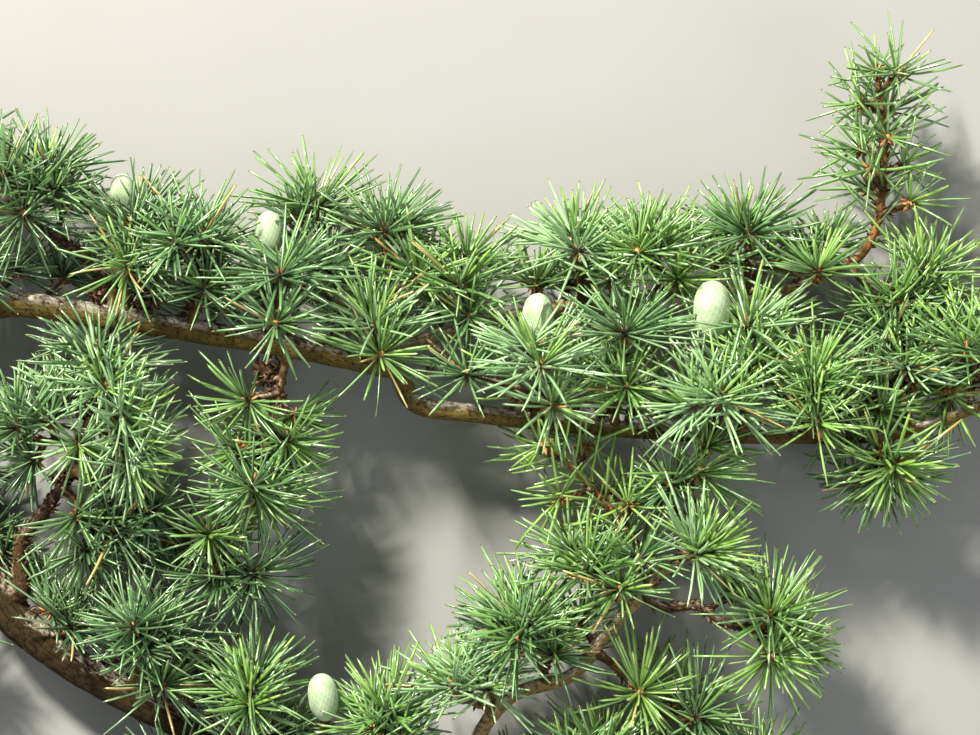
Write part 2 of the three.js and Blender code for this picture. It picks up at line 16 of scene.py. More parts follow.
import bpy
import numpy as np
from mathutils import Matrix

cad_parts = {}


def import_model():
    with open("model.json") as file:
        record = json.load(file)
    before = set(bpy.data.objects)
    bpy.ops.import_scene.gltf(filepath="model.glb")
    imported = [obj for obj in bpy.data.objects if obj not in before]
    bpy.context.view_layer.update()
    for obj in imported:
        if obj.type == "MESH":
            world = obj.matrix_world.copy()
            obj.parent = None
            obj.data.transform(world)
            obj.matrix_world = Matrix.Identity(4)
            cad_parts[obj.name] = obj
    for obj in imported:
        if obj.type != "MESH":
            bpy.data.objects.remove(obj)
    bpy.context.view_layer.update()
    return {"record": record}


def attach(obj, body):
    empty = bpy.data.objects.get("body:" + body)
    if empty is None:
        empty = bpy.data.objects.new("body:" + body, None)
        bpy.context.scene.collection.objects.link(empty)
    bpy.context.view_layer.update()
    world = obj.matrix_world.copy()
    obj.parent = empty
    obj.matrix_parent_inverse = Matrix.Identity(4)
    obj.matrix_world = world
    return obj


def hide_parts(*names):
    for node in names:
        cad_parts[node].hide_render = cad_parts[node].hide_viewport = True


LOG = logging.getLogger("cedar_branch")

Array = np.ndarray
Place = tuple[float, float, float]
Colour = tuple[float, float, float]
Span = tuple[float, float]
Draws = np.random.Generator
Socket = bpy.types.NodeSocket
Material = bpy.types.Material

MM = 0.001
UP = np.array((0.0, 0.0, 1.0))
EAST = np.array((1.0, 0.0, 0.0))
NORTH = np.array((0.0, 1.0, 0.0))
STEEP = 0.9
FULL_TURN = 2 * math.pi
SALT_STEP, SALT_START = 2654435761, 97
KEY_PRIMES = tuple(np.uint64(prime) for prime in (73856093, 19349663, 83492791))
MIXERS = (np.uint64(2246822519), np.uint64(3266489917))
SHIFTS = (np.uint64(15), np.uint64(13), np.uint64(16))
LOW_BITS = np.uint64(0xFFFFFFFF)
GOLDEN_TURN = math.pi * (3 - math.sqrt(5))
ARC_STEPS = 200
TANGENT_STEP = 1e-4

RISING = (0, 0.7, 0.25)
HANGING = (0, -1, 0.2)
SIDEWAYS = (0.9, -0.1, 0.2)


class Tone(Enum):
    """Tints that the needles are dealt out in, one joined piece for each."""

    DEEP = "deep"
    SEA = "sea"
    LEAF = "leaf"
    FRESH = "fresh"
    SILVER = "silver"
    DRY = "dry"


# Each spray's own tint is partly the needles' own colour and partly light: SILVER goes where the needles
# shine brightest, as painted glints, and DEEP goes where they lie in shade, as painted shade.
TINTS = {
    "left_star_spray": Tone.SEA,
    "middle_star_spray": Tone.SEA,
    "rear_first_spray": Tone.LEAF,
    "middle_great_spray": Tone.SILVER,
    "rear_second_spray": Tone.SILVER,
    "middle_right_spray": Tone.SEA,
    "rear_third_spray": Tone.LEAF,
    "bright_star_spray": Tone.SILVER,
    "right_star_spray": Tone.LEAF,
    "leader_shoot": Tone.LEAF,
    "long_shoot": Tone.FRESH,
    "lower_left_spray": Tone.SILVER,
    "lower_star_spray": Tone.LEAF,
    "left_shade_spray": Tone.DEEP,
    "left_fan_spray": Tone.SILVER,
    "hanging_spray": Tone.LEAF,
}

INNER_TONES = {
    Tone.DEEP: Tone.SEA,
    Tone.SEA: Tone.LEAF,
    Tone.LEAF: Tone.FRESH,
    Tone.FRESH: Tone.FRESH,
    Tone.SILVER: Tone.FRESH,
}


# Limits that turn the tint value into tints. Besides chance, that value holds painted light and painted
# shade. Lower values get the darker tints.
TINT_AND_LIGHT_LIMITS = ((0.26, Tone.DEEP), (0.5, Tone.SEA), (0.78, Tone.LEAF))


class Salt(IntEnum):
    """Sets the uses of even noise apart."""

    PLATE_ALONG = 3
    PLATE_ROUND = 5
    PLATE_HEIGHT = 7
    WARP = 11
    FINE = 13
    LUMP = 17
    SAWN = 23
    STEM = 29
    SCAR = 31
    SPUR = 37


class Slot(Enum):
    """Material slots of the record."""

    BARK = "bark"
    YOUNG_BARK = "young_bark"
    GREEN = "needles_green"
    BLUE = "needles_blue"
    FRUIT = "fruit_skin"


@dataclass(frozen=True)
class LimbPlan:
    """One limb: its radius at foot and tip, and the few points that it passes through."""

    name: str
    radius: Span
    route: tuple[Place, ...]
    springs: str = ""
    follows: str = ""


@dataclass(frozen=True)
class SprayPlan:
    """One spray: the limb it grows on, where its leading rosette stands, and its spurs."""

    name: str
    limb: str
    head: Place
    faces: Place
    spurs: int
    tip: bool = False
    also: Place | None = None
    bow: float | None = None
    thick: float | None = None
    young: bool = False
    near: Place | None = None
    lift: Place = RISING


@dataclass(frozen=True)
class FruitPlan:
    """One young cone: the limb that carries it, its foot, which way it points, and its size."""

    name: str
    limb: str
    foot: Place
    points: Place
    size: float


LIMBS = (
    LimbPlan("stem_base", (9.2, 7.9), (
        (-272, -25, 9.2), (-250, -26, 11), (-229, -43, 17), (-213, -71, 22), (-196, -95, 25))),
    LimbPlan("stem_far", (7.6, 3.2), (
        (-162, -123, 28), (-116, -147, 28), (-68, -165, 27), (-20, -173, 26), (32, -177, 26),
        (84, -174, 27)), follows="stem_base"),
    LimbPlan("main_near", (5.7, 4.2), (
        (-241, -2, 16), (-224, 17, 28), (-196, 25, 35), (-156, 20.6, 37), (-116, 14.2, 38),
        (-80, 8.2, 38), (-42, 0.2, 38)), springs="stem_base"),
    LimbPlan("main_far", (4.1, 2.0), (
        (-30, -14, 38), (-4, -18.6, 38), (56, -25, 38), (113.6, -27.8, 38), (164, -26.2, 39),
        (196, -15, 40), (218, -2, 41)), follows="main_near"),
    LimbPlan("rear_limb", (2.9, 1.8), (
        (-28, 10.2, 30), (4, 19.8, 26), (44, 27, 24), (84, 31, 24), (124, 32.6, 25),
        (144.8, 42.2, 28)), springs="main_near"),
    LimbPlan("upper_left_twig", (2.1, 1.4), (
        (-155, 37, 39), (-176, 54.2, 41), (-192.4, 65, 42), (-209, 74, 42)), springs="main_near"),
    LimbPlan("left_rising_twig", (3.1, 1.4), (
        (-187.6, -70, 36), (-176, -55, 40), (-163, -34, 44), (-157, -12, 46)), springs="stem_far"),
    LimbPlan("lower_branch", (3.2, 2.4), (
        (-4, -147, 36), (9.2, -131, 40), (32.8, -122.6, 42), (45.2, -107.4, 43), (61, -90, 44)),
        springs="stem_far"),
    LimbPlan("lower_riser", (2.2, 1.4), (
        (66, -84, 44), (75.2, -77.4, 43), (80, -67, 41), (80, -48, 40)), follows="lower_branch"),
    LimbPlan("lower_side_twig", (2.0, 1.3), (
        (70, -95.5, 46), (82.8, -95, 47), (91.2, -101, 47), (104, -104, 47)),
        springs="lower_branch"),
)

SPRAYS = (
    SprayPlan("far_left_spray", "upper_left_twig", (-220, 82, 46), (-5, 8, 3), 2, tip=True),
    SprayPlan("left_top_spray", "upper_left_twig", (-180, 70, 56), (-1, 9, 3), 3),
    SprayPlan("left_outer_spray", "main_near", (-222, 46, 44), (-6, 8, 3), 2),
    SprayPlan("left_fruit_spray", "main_near", (-142, 56, 52), (0, 9, 3), 2),
    SprayPlan("left_star_spray", "main_near", (-113.6, 51, 60), (0, 8, 5), 3),
    SprayPlan("left_rear_spray", "main_near", (-70, 64, 32), (1, 9, 2), 2),
    SprayPlan("middle_star_spray", "main_near", (-82.4, 35.8, 64), (0, 8, 5), 2),
    SprayPlan("fork_spray", "main_near", (-45.6, 16, 56), (1, 8, 4), 2),
    SprayPlan("fork_rear_spray", "rear_limb", (-42, 54, 40), (-1, 9, 2), 2),
    SprayPlan("rear_first_spray", "rear_limb", (-12, 32, 46), (0, 9, 3), 2),
    SprayPlan("middle_great_spray", "main_far", (20, 0.5, 70), (0, 7, 6), 2, also=(-9, -3, 54)),
    SprayPlan("rear_second_spray", "rear_limb", (35.2, 46, 48), (0, 9, 3), 2),
    SprayPlan("middle_right_spray", "main_far", (52.8, 13, 65), (0, 9, 4), 2),
    SprayPlan("rear_third_spray", "rear_limb", (67.2, 46, 42), (1, 9, 3), 3),
    SprayPlan("bright_star_spray", "main_far", (89.6, -12.2, 71), (0, 5, 8), 2),
    SprayPlan("bright_rear_spray", "main_far", (102, 15.8, 54), (0, 9, 3), 2),
    SprayPlan("rear_fourth_spray", "rear_limb", (103.6, 53, 40), (0, 9, 3), 2, also=(130, 38, 50)),
    SprayPlan("right_star_spray", "main_far", (128, -3.8, 60), (0, 8, 5), 2),
    SprayPlan("right_inner_spray", "main_far", (160, 12, 42), (0, 9, 3), 2),
    SprayPlan("right_edge_spray", "main_far", (189.2, 7, 55), (-2, 8, 4), 2),
    SprayPlan("right_tip_spray", "main_far", (236, 9, 44), (8, 4, 3), 3, tip=True),
    SprayPlan("right_rear_spray", "rear_limb", (174, 38, 36), (3, 9, 3), 2),
    SprayPlan("leader_shoot", "rear_limb", (154, 118, 42), (-2, 9, 2), 9, tip=True, bow=20, young=True),
    SprayPlan("right_hanging_spray", "main_far", (157, -39, 44), (3, -9, 3), 3, lift=HANGING),
    SprayPlan("long_shoot", "lower_riser", (21, -31, 50), (-8, 5, 2), 5, bow=20, young=True,
              near=(56, -66, 46)),
    SprayPlan("riser_top_spray", "lower_riser", (82, -42, 50), (7, 6, 3), 3, tip=True),
    SprayPlan("riser_front_spray", "lower_riser", (80, -73, 66), (8, 4, 4), 2),
    SprayPlan("lower_left_spray", "lower_branch", (-14.4, -127, 54), (-4, 8, 3), 2),
    SprayPlan("lower_star_spray", "lower_branch", (15.6, -101, 60), (0, 9, 3), 3),
    SprayPlan("lower_inner_spray", "lower_branch", (38.8, -81, 54), (-4, 8, 3), 2),
    SprayPlan("lower_side_spray", "lower_side_twig", (112, -104, 49), (9, 3, 3), 3, tip=True),
    SprayPlan("lower_low_spray", "lower_branch", (82, -140, 38), (8, 3, 3), 2),
    SprayPlan("foot_end_spray", "stem_far", (108, -169, 38), (8, 4, 4), 3, tip=True),
    SprayPlan("foot_right_spray", "stem_far", (44, -156, 48), (2, 9, 3), 3),
    SprayPlan("foot_middle_spray", "stem_far", (-40, -138, 50), (-2, 9, 3), 3),
    SprayPlan("foot_star_spray", "stem_far", (-94.8, -128, 56), (2, 8, 4), 2),
    SprayPlan("left_low_spray", "stem_far", (-132, -104, 52), (2, 8, 4), 3),
    SprayPlan("foot_under_spray", "stem_far", (-128, -174, 32), (-2, -8, 4), 2),
    SprayPlan("left_under_spray", "stem_base", (-234, -104, 36), (-6, -6, 4), 2),
    SprayPlan("left_inner_spray", "left_rising_twig", (-94, -82, 46), (6, -4, 5), 4,
              also=(-108, -68, 40), bow=22, thick=2.2, lift=HANGING),
    SprayPlan("left_shade_spray", "left_rising_twig", (-150, -64, 50), (8, 1, 3), 5, lift=SIDEWAYS),
    SprayPlan("left_fan_spray", "left_rising_twig", (-146, -26, 58), (8, 2, 4), 4, lift=SIDEWAYS),
    SprayPlan("left_side_spray", "left_rising_twig", (-186, -24, 54), (-5, 8, 3), 2),
    SprayPlan("left_rising_spray", "left_rising_twig", (-154, 2, 56), (1, 8, 4), 2, tip=True),
    SprayPlan("hanging_spray", "main_near", (-91, -50, 50), (0, -8, 4), 6, lift=HANGING),
)

FRUIT = (
    FruitPlan("fruit_left", "main_near", (-147, 61, 36), (0, 9, 2), 0.76),
    FruitPlan("fruit_rear", "main_near", (-88, 44, 42), (0, 9, 2), 0.84),
    FruitPlan("fruit_middle", "rear_limb", (19, 9, 50), (0, 9, 3), 0.96),
    FruitPlan("fruit_right", "rear_limb", (87.6, 11, 52), (0, 9, 3), 1.1),
    FruitPlan("fruit_lower", "stem_far", (-65, -140, 50), (-1, 9, 3), 0.9),
)


def vector(place: Sequence[float]) -> Array:
    """A place or direction as an array of floats."""
    return np.asarray(place, float)


def unit(rows: Array) -> Array:
    """Vectors of length 1, along the last axis."""
    return rows / np.linalg.norm(rows, axis=-1, keepdims=True)


def blend(low: float, high: float, share: float | Array) -> float | Array:
    """The value a share of the way from low to high."""
    return low + (high - low) * share


def round_half_up(value: float) -> int:
    """The nearest whole number."""
    return int(value + 0.5)


def eased(share: Array) -> Array:
    """Shares from 0 to 1 that leave 0 and reach 1 gently."""
    return share * share * (3 - 2 * share)


def travelled(places: Array) -> Array:
    """How far along a line each of its places is."""
    return np.concatenate([[0.0], np.cumsum(np.linalg.norm(np.diff(places, axis=0), axis=1))])


def even_shares(length: float, step: float, least: int = 4, end: float = 1.0) -> Array:
    """Even shares of a length from 0 to an end, about a step apart and at least so many."""
    return np.linspace(0.0, end, max(least, int(length / step)))


def even_turns(count: int) -> Array:
    """Angles that part a full turn evenly."""
    return np.arange(count) * (FULL_TURN / count)


def square_to(axis: Array, towards: Array) -> Array:
    """Part of a direction that is square to an axis, as a unit vector."""
    return unit(towards - axis * np.dot(towards, axis))


def side_of(axis: Array) -> Array:
    """Unit vector square to an axis: the one nearest upright, unless the axis is steep."""
    return square_to(axis, UP if abs(axis[2]) < STEEP else EAST)


def turned_off(axis: Array, turn: float, lean: float) -> Array:
    """Direction that stands off an axis.

    Args:
        axis: Unit vector that it turns round.
        turn: Angle round the axis, from its upright side.
        lean: How far it leans along the axis.

    Returns:
        A unit vector.
    """
    side = side_of(axis)
    out = side * math.cos(turn) + np.cross(axis, side) * math.sin(turn) + axis * lean
    return unit(out)


def hashed(salt: int, *keys: Array) -> Array:
    """Even numbers from 0 to 1 that depend only on whole-number keys.

    Args:
        salt: Sets one use apart from another.
        keys: Arrays of whole numbers of one shape.

    Returns:
        An array of that shape.
    """
    mixed = np.full(keys[0].shape, salt * SALT_STEP + SALT_START, np.uint64)
    for prime, key in zip(KEY_PRIMES, keys):
        mixed ^= key.astype(np.int64).astype(np.uint64) * prime
        mixed = (mixed ^ (mixed >> SHIFTS[0])) * MIXERS[0] & LOW_BITS
    mixed = (mixed ^ (mixed >> SHIFTS[1])) * MIXERS[1] & LOW_BITS
    return (mixed ^ (mixed >> SHIFTS[2])).astype(float) / 2.0**32


def lumps(places: Array, size: float, salt: int) -> Array:
    """Smooth lumps from -1 to 1 about a size apart.

    Args:
        places: Points, in the units of size.
        size: Distance between lumps.
        salt: Sets one use apart from another.

    Returns:
        One value for each point.
    """
    scaled = places / size
    cell = np.floor(scaled).astype(int)
    part = eased(scaled - cell)
    total = np.zeros(len(places))
    for corner in np.ndindex(2, 2, 2):
        share = np.prod(np.where(corner, part, 1 - part), axis=1)
        total += share * hashed(salt, *(cell[:, k] + corner[k] for k in range(3)))
    return total * 2 - 1


class Seeded:
    """The same draws each time for one seed."""

    def __init__(self, seed: int) -> None:
        """Starts from a seed."""
        self._state = seed & 0xFFFFFFFF

    def draw(self) -> float:
        """The next number from 0 to 1."""
        self._state = (self._state * 1664525 + 1013904223) & 0xFFFFFFFF
        return self._state / 2**32

    def between(self, limits: Span) -> float:
        """The next number between two limits."""
        return blend(limits[0], limits[1], self.draw())


class Curve:
    """A smooth curve that is walked by even lengths of arc."""

    def __init__(self) -> None:
        """Measures the curve once its points are set."""
        self._steps = np.linspace(0.0, 1.0, ARC_STEPS + 1)
        self._travel = travelled(self.point(self._steps))
        self.length = float(self._travel[-1])

    def point(self, t: Array) -> Array:
        """Places at values of the curve's own parameter."""
        raise NotImplementedError

    def _parameter(self, share: Array) -> Array:
        """The curve's own parameter at shares of its length."""
        return np.interp(share * self.length, self._travel, self._steps)

    def at(self, share: float | Array) -> Array:
        """Places at shares of the length, one row for each, or one place for a single share."""
        shares = np.atleast_1d(np.asarray(share, float))
        found = self.point(self._parameter(shares))
        return found[0] if np.ndim(share) == 0 else found

    def along(self, share: float | Array) -> Array:
        """Unit tangents at shares of the length."""
        t = self._parameter(np.atleast_1d(np.asarray(share, float)))
        ahead = self.point(np.minimum(t + TANGENT_STEP, 1.0))
        found = unit(ahead - self.point(np.maximum(t - TANGENT_STEP, 0.0)))
        return found[0] if np.ndim(share) == 0 else found


class Route(Curve):
    """A centripetal Catmull-Rom curve through places."""

    def __init__(self, places: Sequence[Array]) -> None:
        """Takes the places that it passes through."""
        rows = np.asarray(places, float)
        self._rows = np.vstack([2 * rows[0] - rows[1], rows, 2 * rows[-1] - rows[-2]])
        super().__init__()

    def point(self, t: Array) -> Array:
        """Places at values of the curve's own parameter."""
        spans = len(self._rows) - 3
        span = np.minimum((t * spans).astype(int), spans - 1)
        w = (t * spans - span)[:, None]
        p0, p1, p2, p3 = (self._rows[span + k] for k in range(4))
        d0, d1, d2 = (
            np.sqrt(np.linalg.norm(b - a, axis=1, keepdims=True))
            for a, b in ((p0, p1), (p1, p2), (p2, p3))
        )
        leaves = ((p1 - p0) / d0 - (p2 - p0) / (d0 + d1) + (p2 - p1) / d1) * d1
        meets = ((p2 - p1) / d1 - (p3 - p1) / (d1 + d2) + (p3 - p2) / d2) * d1
        square = -3 * p1 + 3 * p2 - 2 * leaves - meets
        cube = 2 * p1 - 2 * p2 + leaves + meets
        return p1 + leaves * w + square * w**2 + cube * w**3


class Bend(Curve):
    """A cubic Bezier curve that leaves its foot and reaches its head straight."""

    def __init__(self, foot: "Foot", head: Array, faces: Array, bow: Span) -> None:
        """Takes the foot, the head and how far the curve runs on straight at each."""
        self._rows = (foot.start, foot.start + foot.facing * bow[0], head - faces * bow[1], head)
        super().__init__()

    def point(self, t: Array) -> Array:
        """Places at values of the curve's own parameter."""
        p0, p1, p2, p3 = self._rows
        t = t[:, None]
        s = 1 - t
        return s**3 * p0 + 3 * s * s * t * p1 + 3 * s * t * t * p2 + t**3 * p3


class Straight(Curve):
    """A straight line."""

    def __init__(self, start: Array, end: Array) -> None:
        """Takes its two ends."""
        self._rows = (start, end)
        super().__init__()

    def point(self, t: Array) -> Array:
        """Places at values of the curve's own parameter."""
        return self._rows[0] + (self._rows[1] - self._rows[0]) * t[:, None]


@dataclass(frozen=True)
class Foot:
    """Where something starts, and which way it leaves."""

    start: Array
    facing: Array


@dataclass(frozen=True)
class Limb:
    """A grown limb."""

    plan: LimbPlan
    curve: Curve
    facing: Array

    def radius_at(self, share: float | Array) -> float | Array:
        """Its radius at a share of its length."""
        return blend(*self.plan.radius, share)


@dataclass(frozen=True)
class Shoot:
    """A spray's stem or a spur: a curve with a radius at its foot and its tip."""

    curve: Curve
    radius: Span
    facing: Array


@dataclass(frozen=True)
class Rosette:
    """A tuft of needles: its centre, the way it faces, its share of full size, and its spray."""

    centre: Array
    faces: Array
    size: float
    spray: int
    leading: bool = False


@dataclass(frozen=True)
class Cone:
    """A grown young fruit with its stalk."""

    plan: FruitPlan
    stalk: Shoot
    seat: Array
    points: Array
    length: float
    widest: float


class Claims:
    """Room that is taken, as straight pieces with a radius at each end and an owner."""

    def __init__(self) -> None:
        """Starts with all the room free."""
        self._rows: list[tuple[Array, Array, float, float]] = []
        self._owners: list[int] = []

    def add(self, start: Array, end: Array, foot: float, tip: float, owner: int) -> None:
        """Takes the room of one straight piece."""
        self._rows.append((start, end, foot, tip))
        self._owners.append(owner)

    def add_curve(self, curve: Curve, radius: Span, count: int, owner: int) -> None:
        """Takes the room of a curved limb or stem, as straight pieces.

        Args:
            curve: Its centre line.
            radius: Its radius at foot and tip.
            count: How many pieces it is taken as.
            owner: Who takes the room.
        """
        shares = np.arange(count + 1) / count
        places = curve.at(shares)
        widths = blend(*radius, shares)
        for k in range(count):
            self.add(places[k], places[k + 1], widths[k], widths[k + 1], owner)

    def hand_last_to(self, owner: int) -> None:
        """Gives the piece that was taken last to another owner."""
        self._owners[-1] = owner

    def is_clear(
        self, start: Array, end: Array, radius: float, gap: float, ignored: Iterable[int] = ()
    ) -> bool:
        """Whether a straight piece keeps clear of all the room that is taken.

        Args:
            start: One end.
            end: The other end.
            radius: Its radius.
            gap: How far clear it has to be.
            ignored: Owners whose pieces it may touch.

        Returns:
            True if it is clear.
        """
        skip = set(ignored)
        rows = [row for row, owner in zip(self._rows, self._owners) if owner not in skip]
        if not rows:
            return True
        starts, ends = (np.array([row[k] for row in rows]) for k in (0, 1))
        feet, tips = (np.array([row[k] for row in rows]) for k in (2, 3))
        along = end - start
        across = ends - starts
        between = start - starts
        a = along @ along
        b = across @ along
        c = between @ along
        e = np.einsum("ij,ij->i", across, across)
        f = np.einsum("ij,ij->i", across, between)
        spread = a * e - b * b
        safe = np.where(spread > 1e-9, spread, 1.0)
        s = np.where(spread > 1e-9, np.clip((b * f - c * e) / safe, 0, 1), 0.0)
        t = (b * s + f) / e
        s = np.where(t < 0, np.clip(-c / a, 0, 1), np.where(t > 1, np.clip((b - c) / a, 0, 1), s))
        t = np.clip(t, 0, 1)
        near = start + along * s[:, None]
        far = starts + across * t[:, None]
        room = np.linalg.norm(near - far, axis=1) - radius - blend(feet, tips, t)
        return bool(np.all(room > gap))


@dataclass
class Growth:
    """Grows the branch by its rule: limbs, fruit stalks, stems, spurs, and then finer spurs."""

    joint_gap: float = 0.35
    clear: float = 0.4
    limb_ring_step: float = 11
    fewest_rings: int = 3
    nearest_steps: int = 200
    stem_foot: float = 1.45
    stem_tip: float = 0.9
    stem_pieces: int = 6
    stem_bow: Span = (0.4, 0.35)
    tip_fit: float = 0.92
    spur_radius: float = 0.85
    spur_length: float = 13
    spur_shares: Span = (0.6, 1.25)
    spur_range: Span = (0.22, 0.92)
    spur_place: Span = (0.2, 0.8)
    spur_lean: Span = (0.35, 0.75)
    spur_stray: float = 1.2
    spur_free: float = 0.4
    spur_rosette: Span = (0.72, 0.95)
    young_share: float = 0.7
    also_share: float = 0.5
    floor_room: float = 9
    core: float = 2.1
    ball_half: float = 0.05
    spur_seed: int = 1000
    spur_seed_step: int = 37
    fruit_length: float = 22
    fruit_radius: float = 6.6
    stalk_radius: float = 1.7
    stalk_bow: float = 0.45
    stalk_root: float = 7
    stalk_pieces: int = 4
    finer_seed: int = 7000
    finer_step: float = 9.0
    finer_range: Span = (0.12, 0.9)
    finer_turn: float = 0.5
    finer_length: Span = (4.5, 9.5)
    finer_rosette: Span = (0.6, 0.86)
    limb_spur_seed: int = 7700
    limb_spur_step: float = 11.0
    limb_spur_length: Span = (5.0, 12.0)
    limb_spur_faces: Place = (0.0, 0.9, -0.15)
    limb_spur_stray: float = 1.2
    limb_spur_root: float = 0.6
    limb_spur_reach: float = 0.5
    limb_spur_collar: float = 1.4
    core_room: float = 2.6
    sight_step: float = 4.0
    sight_above: float = 7.0
    sight_below: float = 24.0
    sight_beside: float = 9.0
    sight_depth: float = 8.0
    limbs: dict[str, Limb] = field(default_factory=dict)
    cones: list[Cone] = field(default_factory=list)
    stems: list[Shoot] = field(default_factory=list)
    spurs: list[Shoot] = field(default_factory=list)
    rosettes: list[Rosette] = field(default_factory=list)
    feet: list[tuple[Array, float]] = field(default_factory=list)
    claims: Claims = field(default_factory=Claims)
    sights: list[Array] = field(default_factory=list)
    owners: int = 0

    def grow(self) -> None:
        """Grows everything in its order."""
        for plan in LIMBS:
            self._grow_limb(plan)
        for plan in FRUIT:
            self._grow_fruit(plan)
        self._grow_sprays()
        self._grow_finer_spurs()
        self._grow_limb_spurs()

    def _new_owner(self) -> int:
        """A number that no other owner has."""
        self.owners += 1
        return self.owners

    def _foot_on_side(self, limb: Limb, place: Array) -> Foot:
        """Foot of something that springs from a limb's side, on the side of a place."""
        shares = np.arange(self.nearest_steps + 1) / self.nearest_steps
        distances = np.linalg.norm(limb.curve.at(shares) - place, axis=1)
        share = float(shares[int(np.argmin(distances))])
        middle = limb.curve.at(share)
        facing = square_to(limb.curve.along(share), place - middle)
        return Foot(middle + facing * (limb.radius_at(share) + self.joint_gap), facing)

    def _foot_on_tip(self, limb: Limb) -> Foot:
        """Foot of something that goes on from a limb's tip."""
        facing = limb.curve.along(1.0)
        return Foot(limb.curve.at(1.0) + facing * self.joint_gap, facing)

    def _grow_limb(self, plan: LimbPlan) -> None:
        """Grows one limb. It leaves its parent straight, for as far as it is thick."""
        route = [vector(place) for place in plan.route]
        facing = EAST
        parent = self.limbs.get(plan.springs or plan.follows)
        if parent:
            foot = self._foot_on_side(parent, route[0]) if plan.springs else self._foot_on_tip(parent)
            facing = foot.facing
            route = [foot.start, foot.start + facing * plan.radius[0], *route]
            if plan.springs:
                self.feet.append((foot.start, plan.radius[0]))
        curve = Route(route)
        self.limbs[plan.name] = Limb(plan, curve, facing)
        rings = max(self.fewest_rings, round_half_up(curve.length / self.limb_ring_step))
        self.claims.add_curve(curve, plan.radius, rings * 2, self._new_owner())

    def _grow_fruit(self, plan: FruitPlan) -> None:
        """Grows one young cone on its bent stalk."""
        seat = vector(plan.foot)
        points = unit(vector(plan.points))
        foot = self._foot_on_side(self.limbs[plan.limb], seat)
        bow = float(np.linalg.norm(seat - foot.start)) * self.stalk_bow
        radius = (self.stalk_radius, self.stalk_radius)
        curve = Bend(foot, seat + points * self.stalk_root, points, (bow, bow))
        length = self.fruit_length * plan.size
        widest = self.fruit_radius * plan.size
        owner = self._new_owner()
        self.claims.add_curve(curve, radius, self.stalk_pieces, owner)
        ends = (seat + points * widest, seat + points * (length - widest))
        self.claims.add(*ends, widest, widest, owner)
        stalk = Shoot(curve, radius, foot.facing)
        self.feet.append((foot.start, self.stalk_radius))
        self.cones.append(Cone(plan, stalk, seat, points, length, widest))

    def _claim_core(self, centre: Array, owner: int) -> None:
        """Takes the room of a rosette's core."""
        half = UP * self.ball_half
        self.claims.add(centre - half, centre + half, self.core, self.core, owner)

    def _core_is_clear(self, centre: Array, ignored: Iterable[int] = ()) -> bool:
        """Whether a rosette's core would keep clear of all that has its place."""
        half = UP * self.ball_half
        return self.claims.is_clear(centre - half, centre + half, self.core, self.clear, ignored)

    def _grow_stem(self, plan: SprayPlan) -> Shoot:
        """Grows the stem of a spray, from its foot on the limb round to its leading rosette."""
        head = vector(plan.head)
        limb = self.limbs[plan.limb]
        near = vector(plan.near or plan.head)
        foot = self._foot_on_tip(limb) if plan.tip else self._foot_on_side(limb, near)
        thick = limb.plan.radius[1] * self.tip_fit if plan.tip else plan.thick or self.stem_foot
        reach = float(np.linalg.norm(head - foot.start))
        bow = tuple(plan.bow or reach * share for share in self.stem_bow)
        if not plan.tip:
            self.feet.append((foot.start, thick))
        return Shoot(Bend(foot, head, unit(vector(plan.faces)), bow), (thick, self.stem_tip), foot.facing)

    @staticmethod
    def _faces(plan: SprayPlan, out: Array) -> Array:
        """Which way a spur's rosette faces: onward, and to the side that its spray turns to."""
        return unit(out + vector(plan.lift))

    def _lifted(self, start: Array, out: Array, length: float) -> Array:
        """A direction turned up where it would run into the floor."""
        if start[2] + out[2] * length < self.floor_room:
            return out * np.sign((1.0, 1.0, out[2]))
        return out

    def _plan_spurs(self, plan: SprayPlan, stem: Shoot, draws: Seeded) -> list[tuple[Array, Array, Array]]:
        """Works out the spurs of a spray, which turn round its stem by the golden angle.

        Args:
            plan: The spray.
            stem: Its stem.
            draws: Where its numbers come from.

        Returns:
            The start, the end and the facing direction of each spur.
        """
        spurs = []
        if plan.also:
            start = stem.curve.at(self.also_share)
            spurs.append((start, vector(plan.also), unit(vector(plan.faces))))
        for k in range(plan.spurs):
            share = blend(*self.spur_range, (k + draws.between(self.spur_place)) / plan.spurs)
            turn = k * GOLDEN_TURN + draws.draw() * self.spur_stray
            lean = draws.between(self.spur_lean)
            length = self.spur_length * draws.between(self.spur_shares)
            start = stem.curve.at(share)
            out = self._lifted(start, turned_off(stem.curve.along(share), turn, lean), length)
            spurs.append((start, start + out * length, self._faces(plan, out)))
        return spurs

    def _full_size(self, plan: SprayPlan) -> float:
        """Share of full size of the spray's leading rosette, less on a young shoot."""
        return self.young_share if plan.young else 1.0

    def _grow_sprays(self) -> None:
        """Grows every stem and leading rosette, and then the spurs with theirs."""
        grown = []
        for index, plan in enumerate(SPRAYS):
            stem = self._grow_stem(plan)
            stem_owner, head_owner = self._new_owner(), self._new_owner()
            self.claims.add_curve(stem.curve, stem.radius, self.stem_pieces, stem_owner)
            self.claims.hand_last_to(head_owner)
            self._claim_core(vector(plan.head), head_owner)
            self.stems.append(stem)
            faces = unit(vector(plan.faces))
            size = self._full_size(plan)
            self.rosettes.append(Rosette(vector(plan.head), faces, size, index, leading=True))
            grown.append((plan, stem, [stem_owner, head_owner]))
        for index, (plan, stem, own) in enumerate(grown):
            draws = Seeded(self.spur_seed + self.spur_seed_step * index)
            for start, end, faces in self._plan_spurs(plan, stem, draws):
                size = self._full_size(plan) * draws.between(self.spur_rosette)
                free = blend(start, end, self.spur_free)
                if (
                    self.claims.is_clear(start, end, self.spur_radius, self.clear, own)
                    and self._core_is_clear(end)
                    and self.claims.is_clear(free, end, self.spur_radius, self.clear)
                ):
                    own.append(self._new_owner())
                    self._keep_spur(start, end, faces, size, index, own[-1])

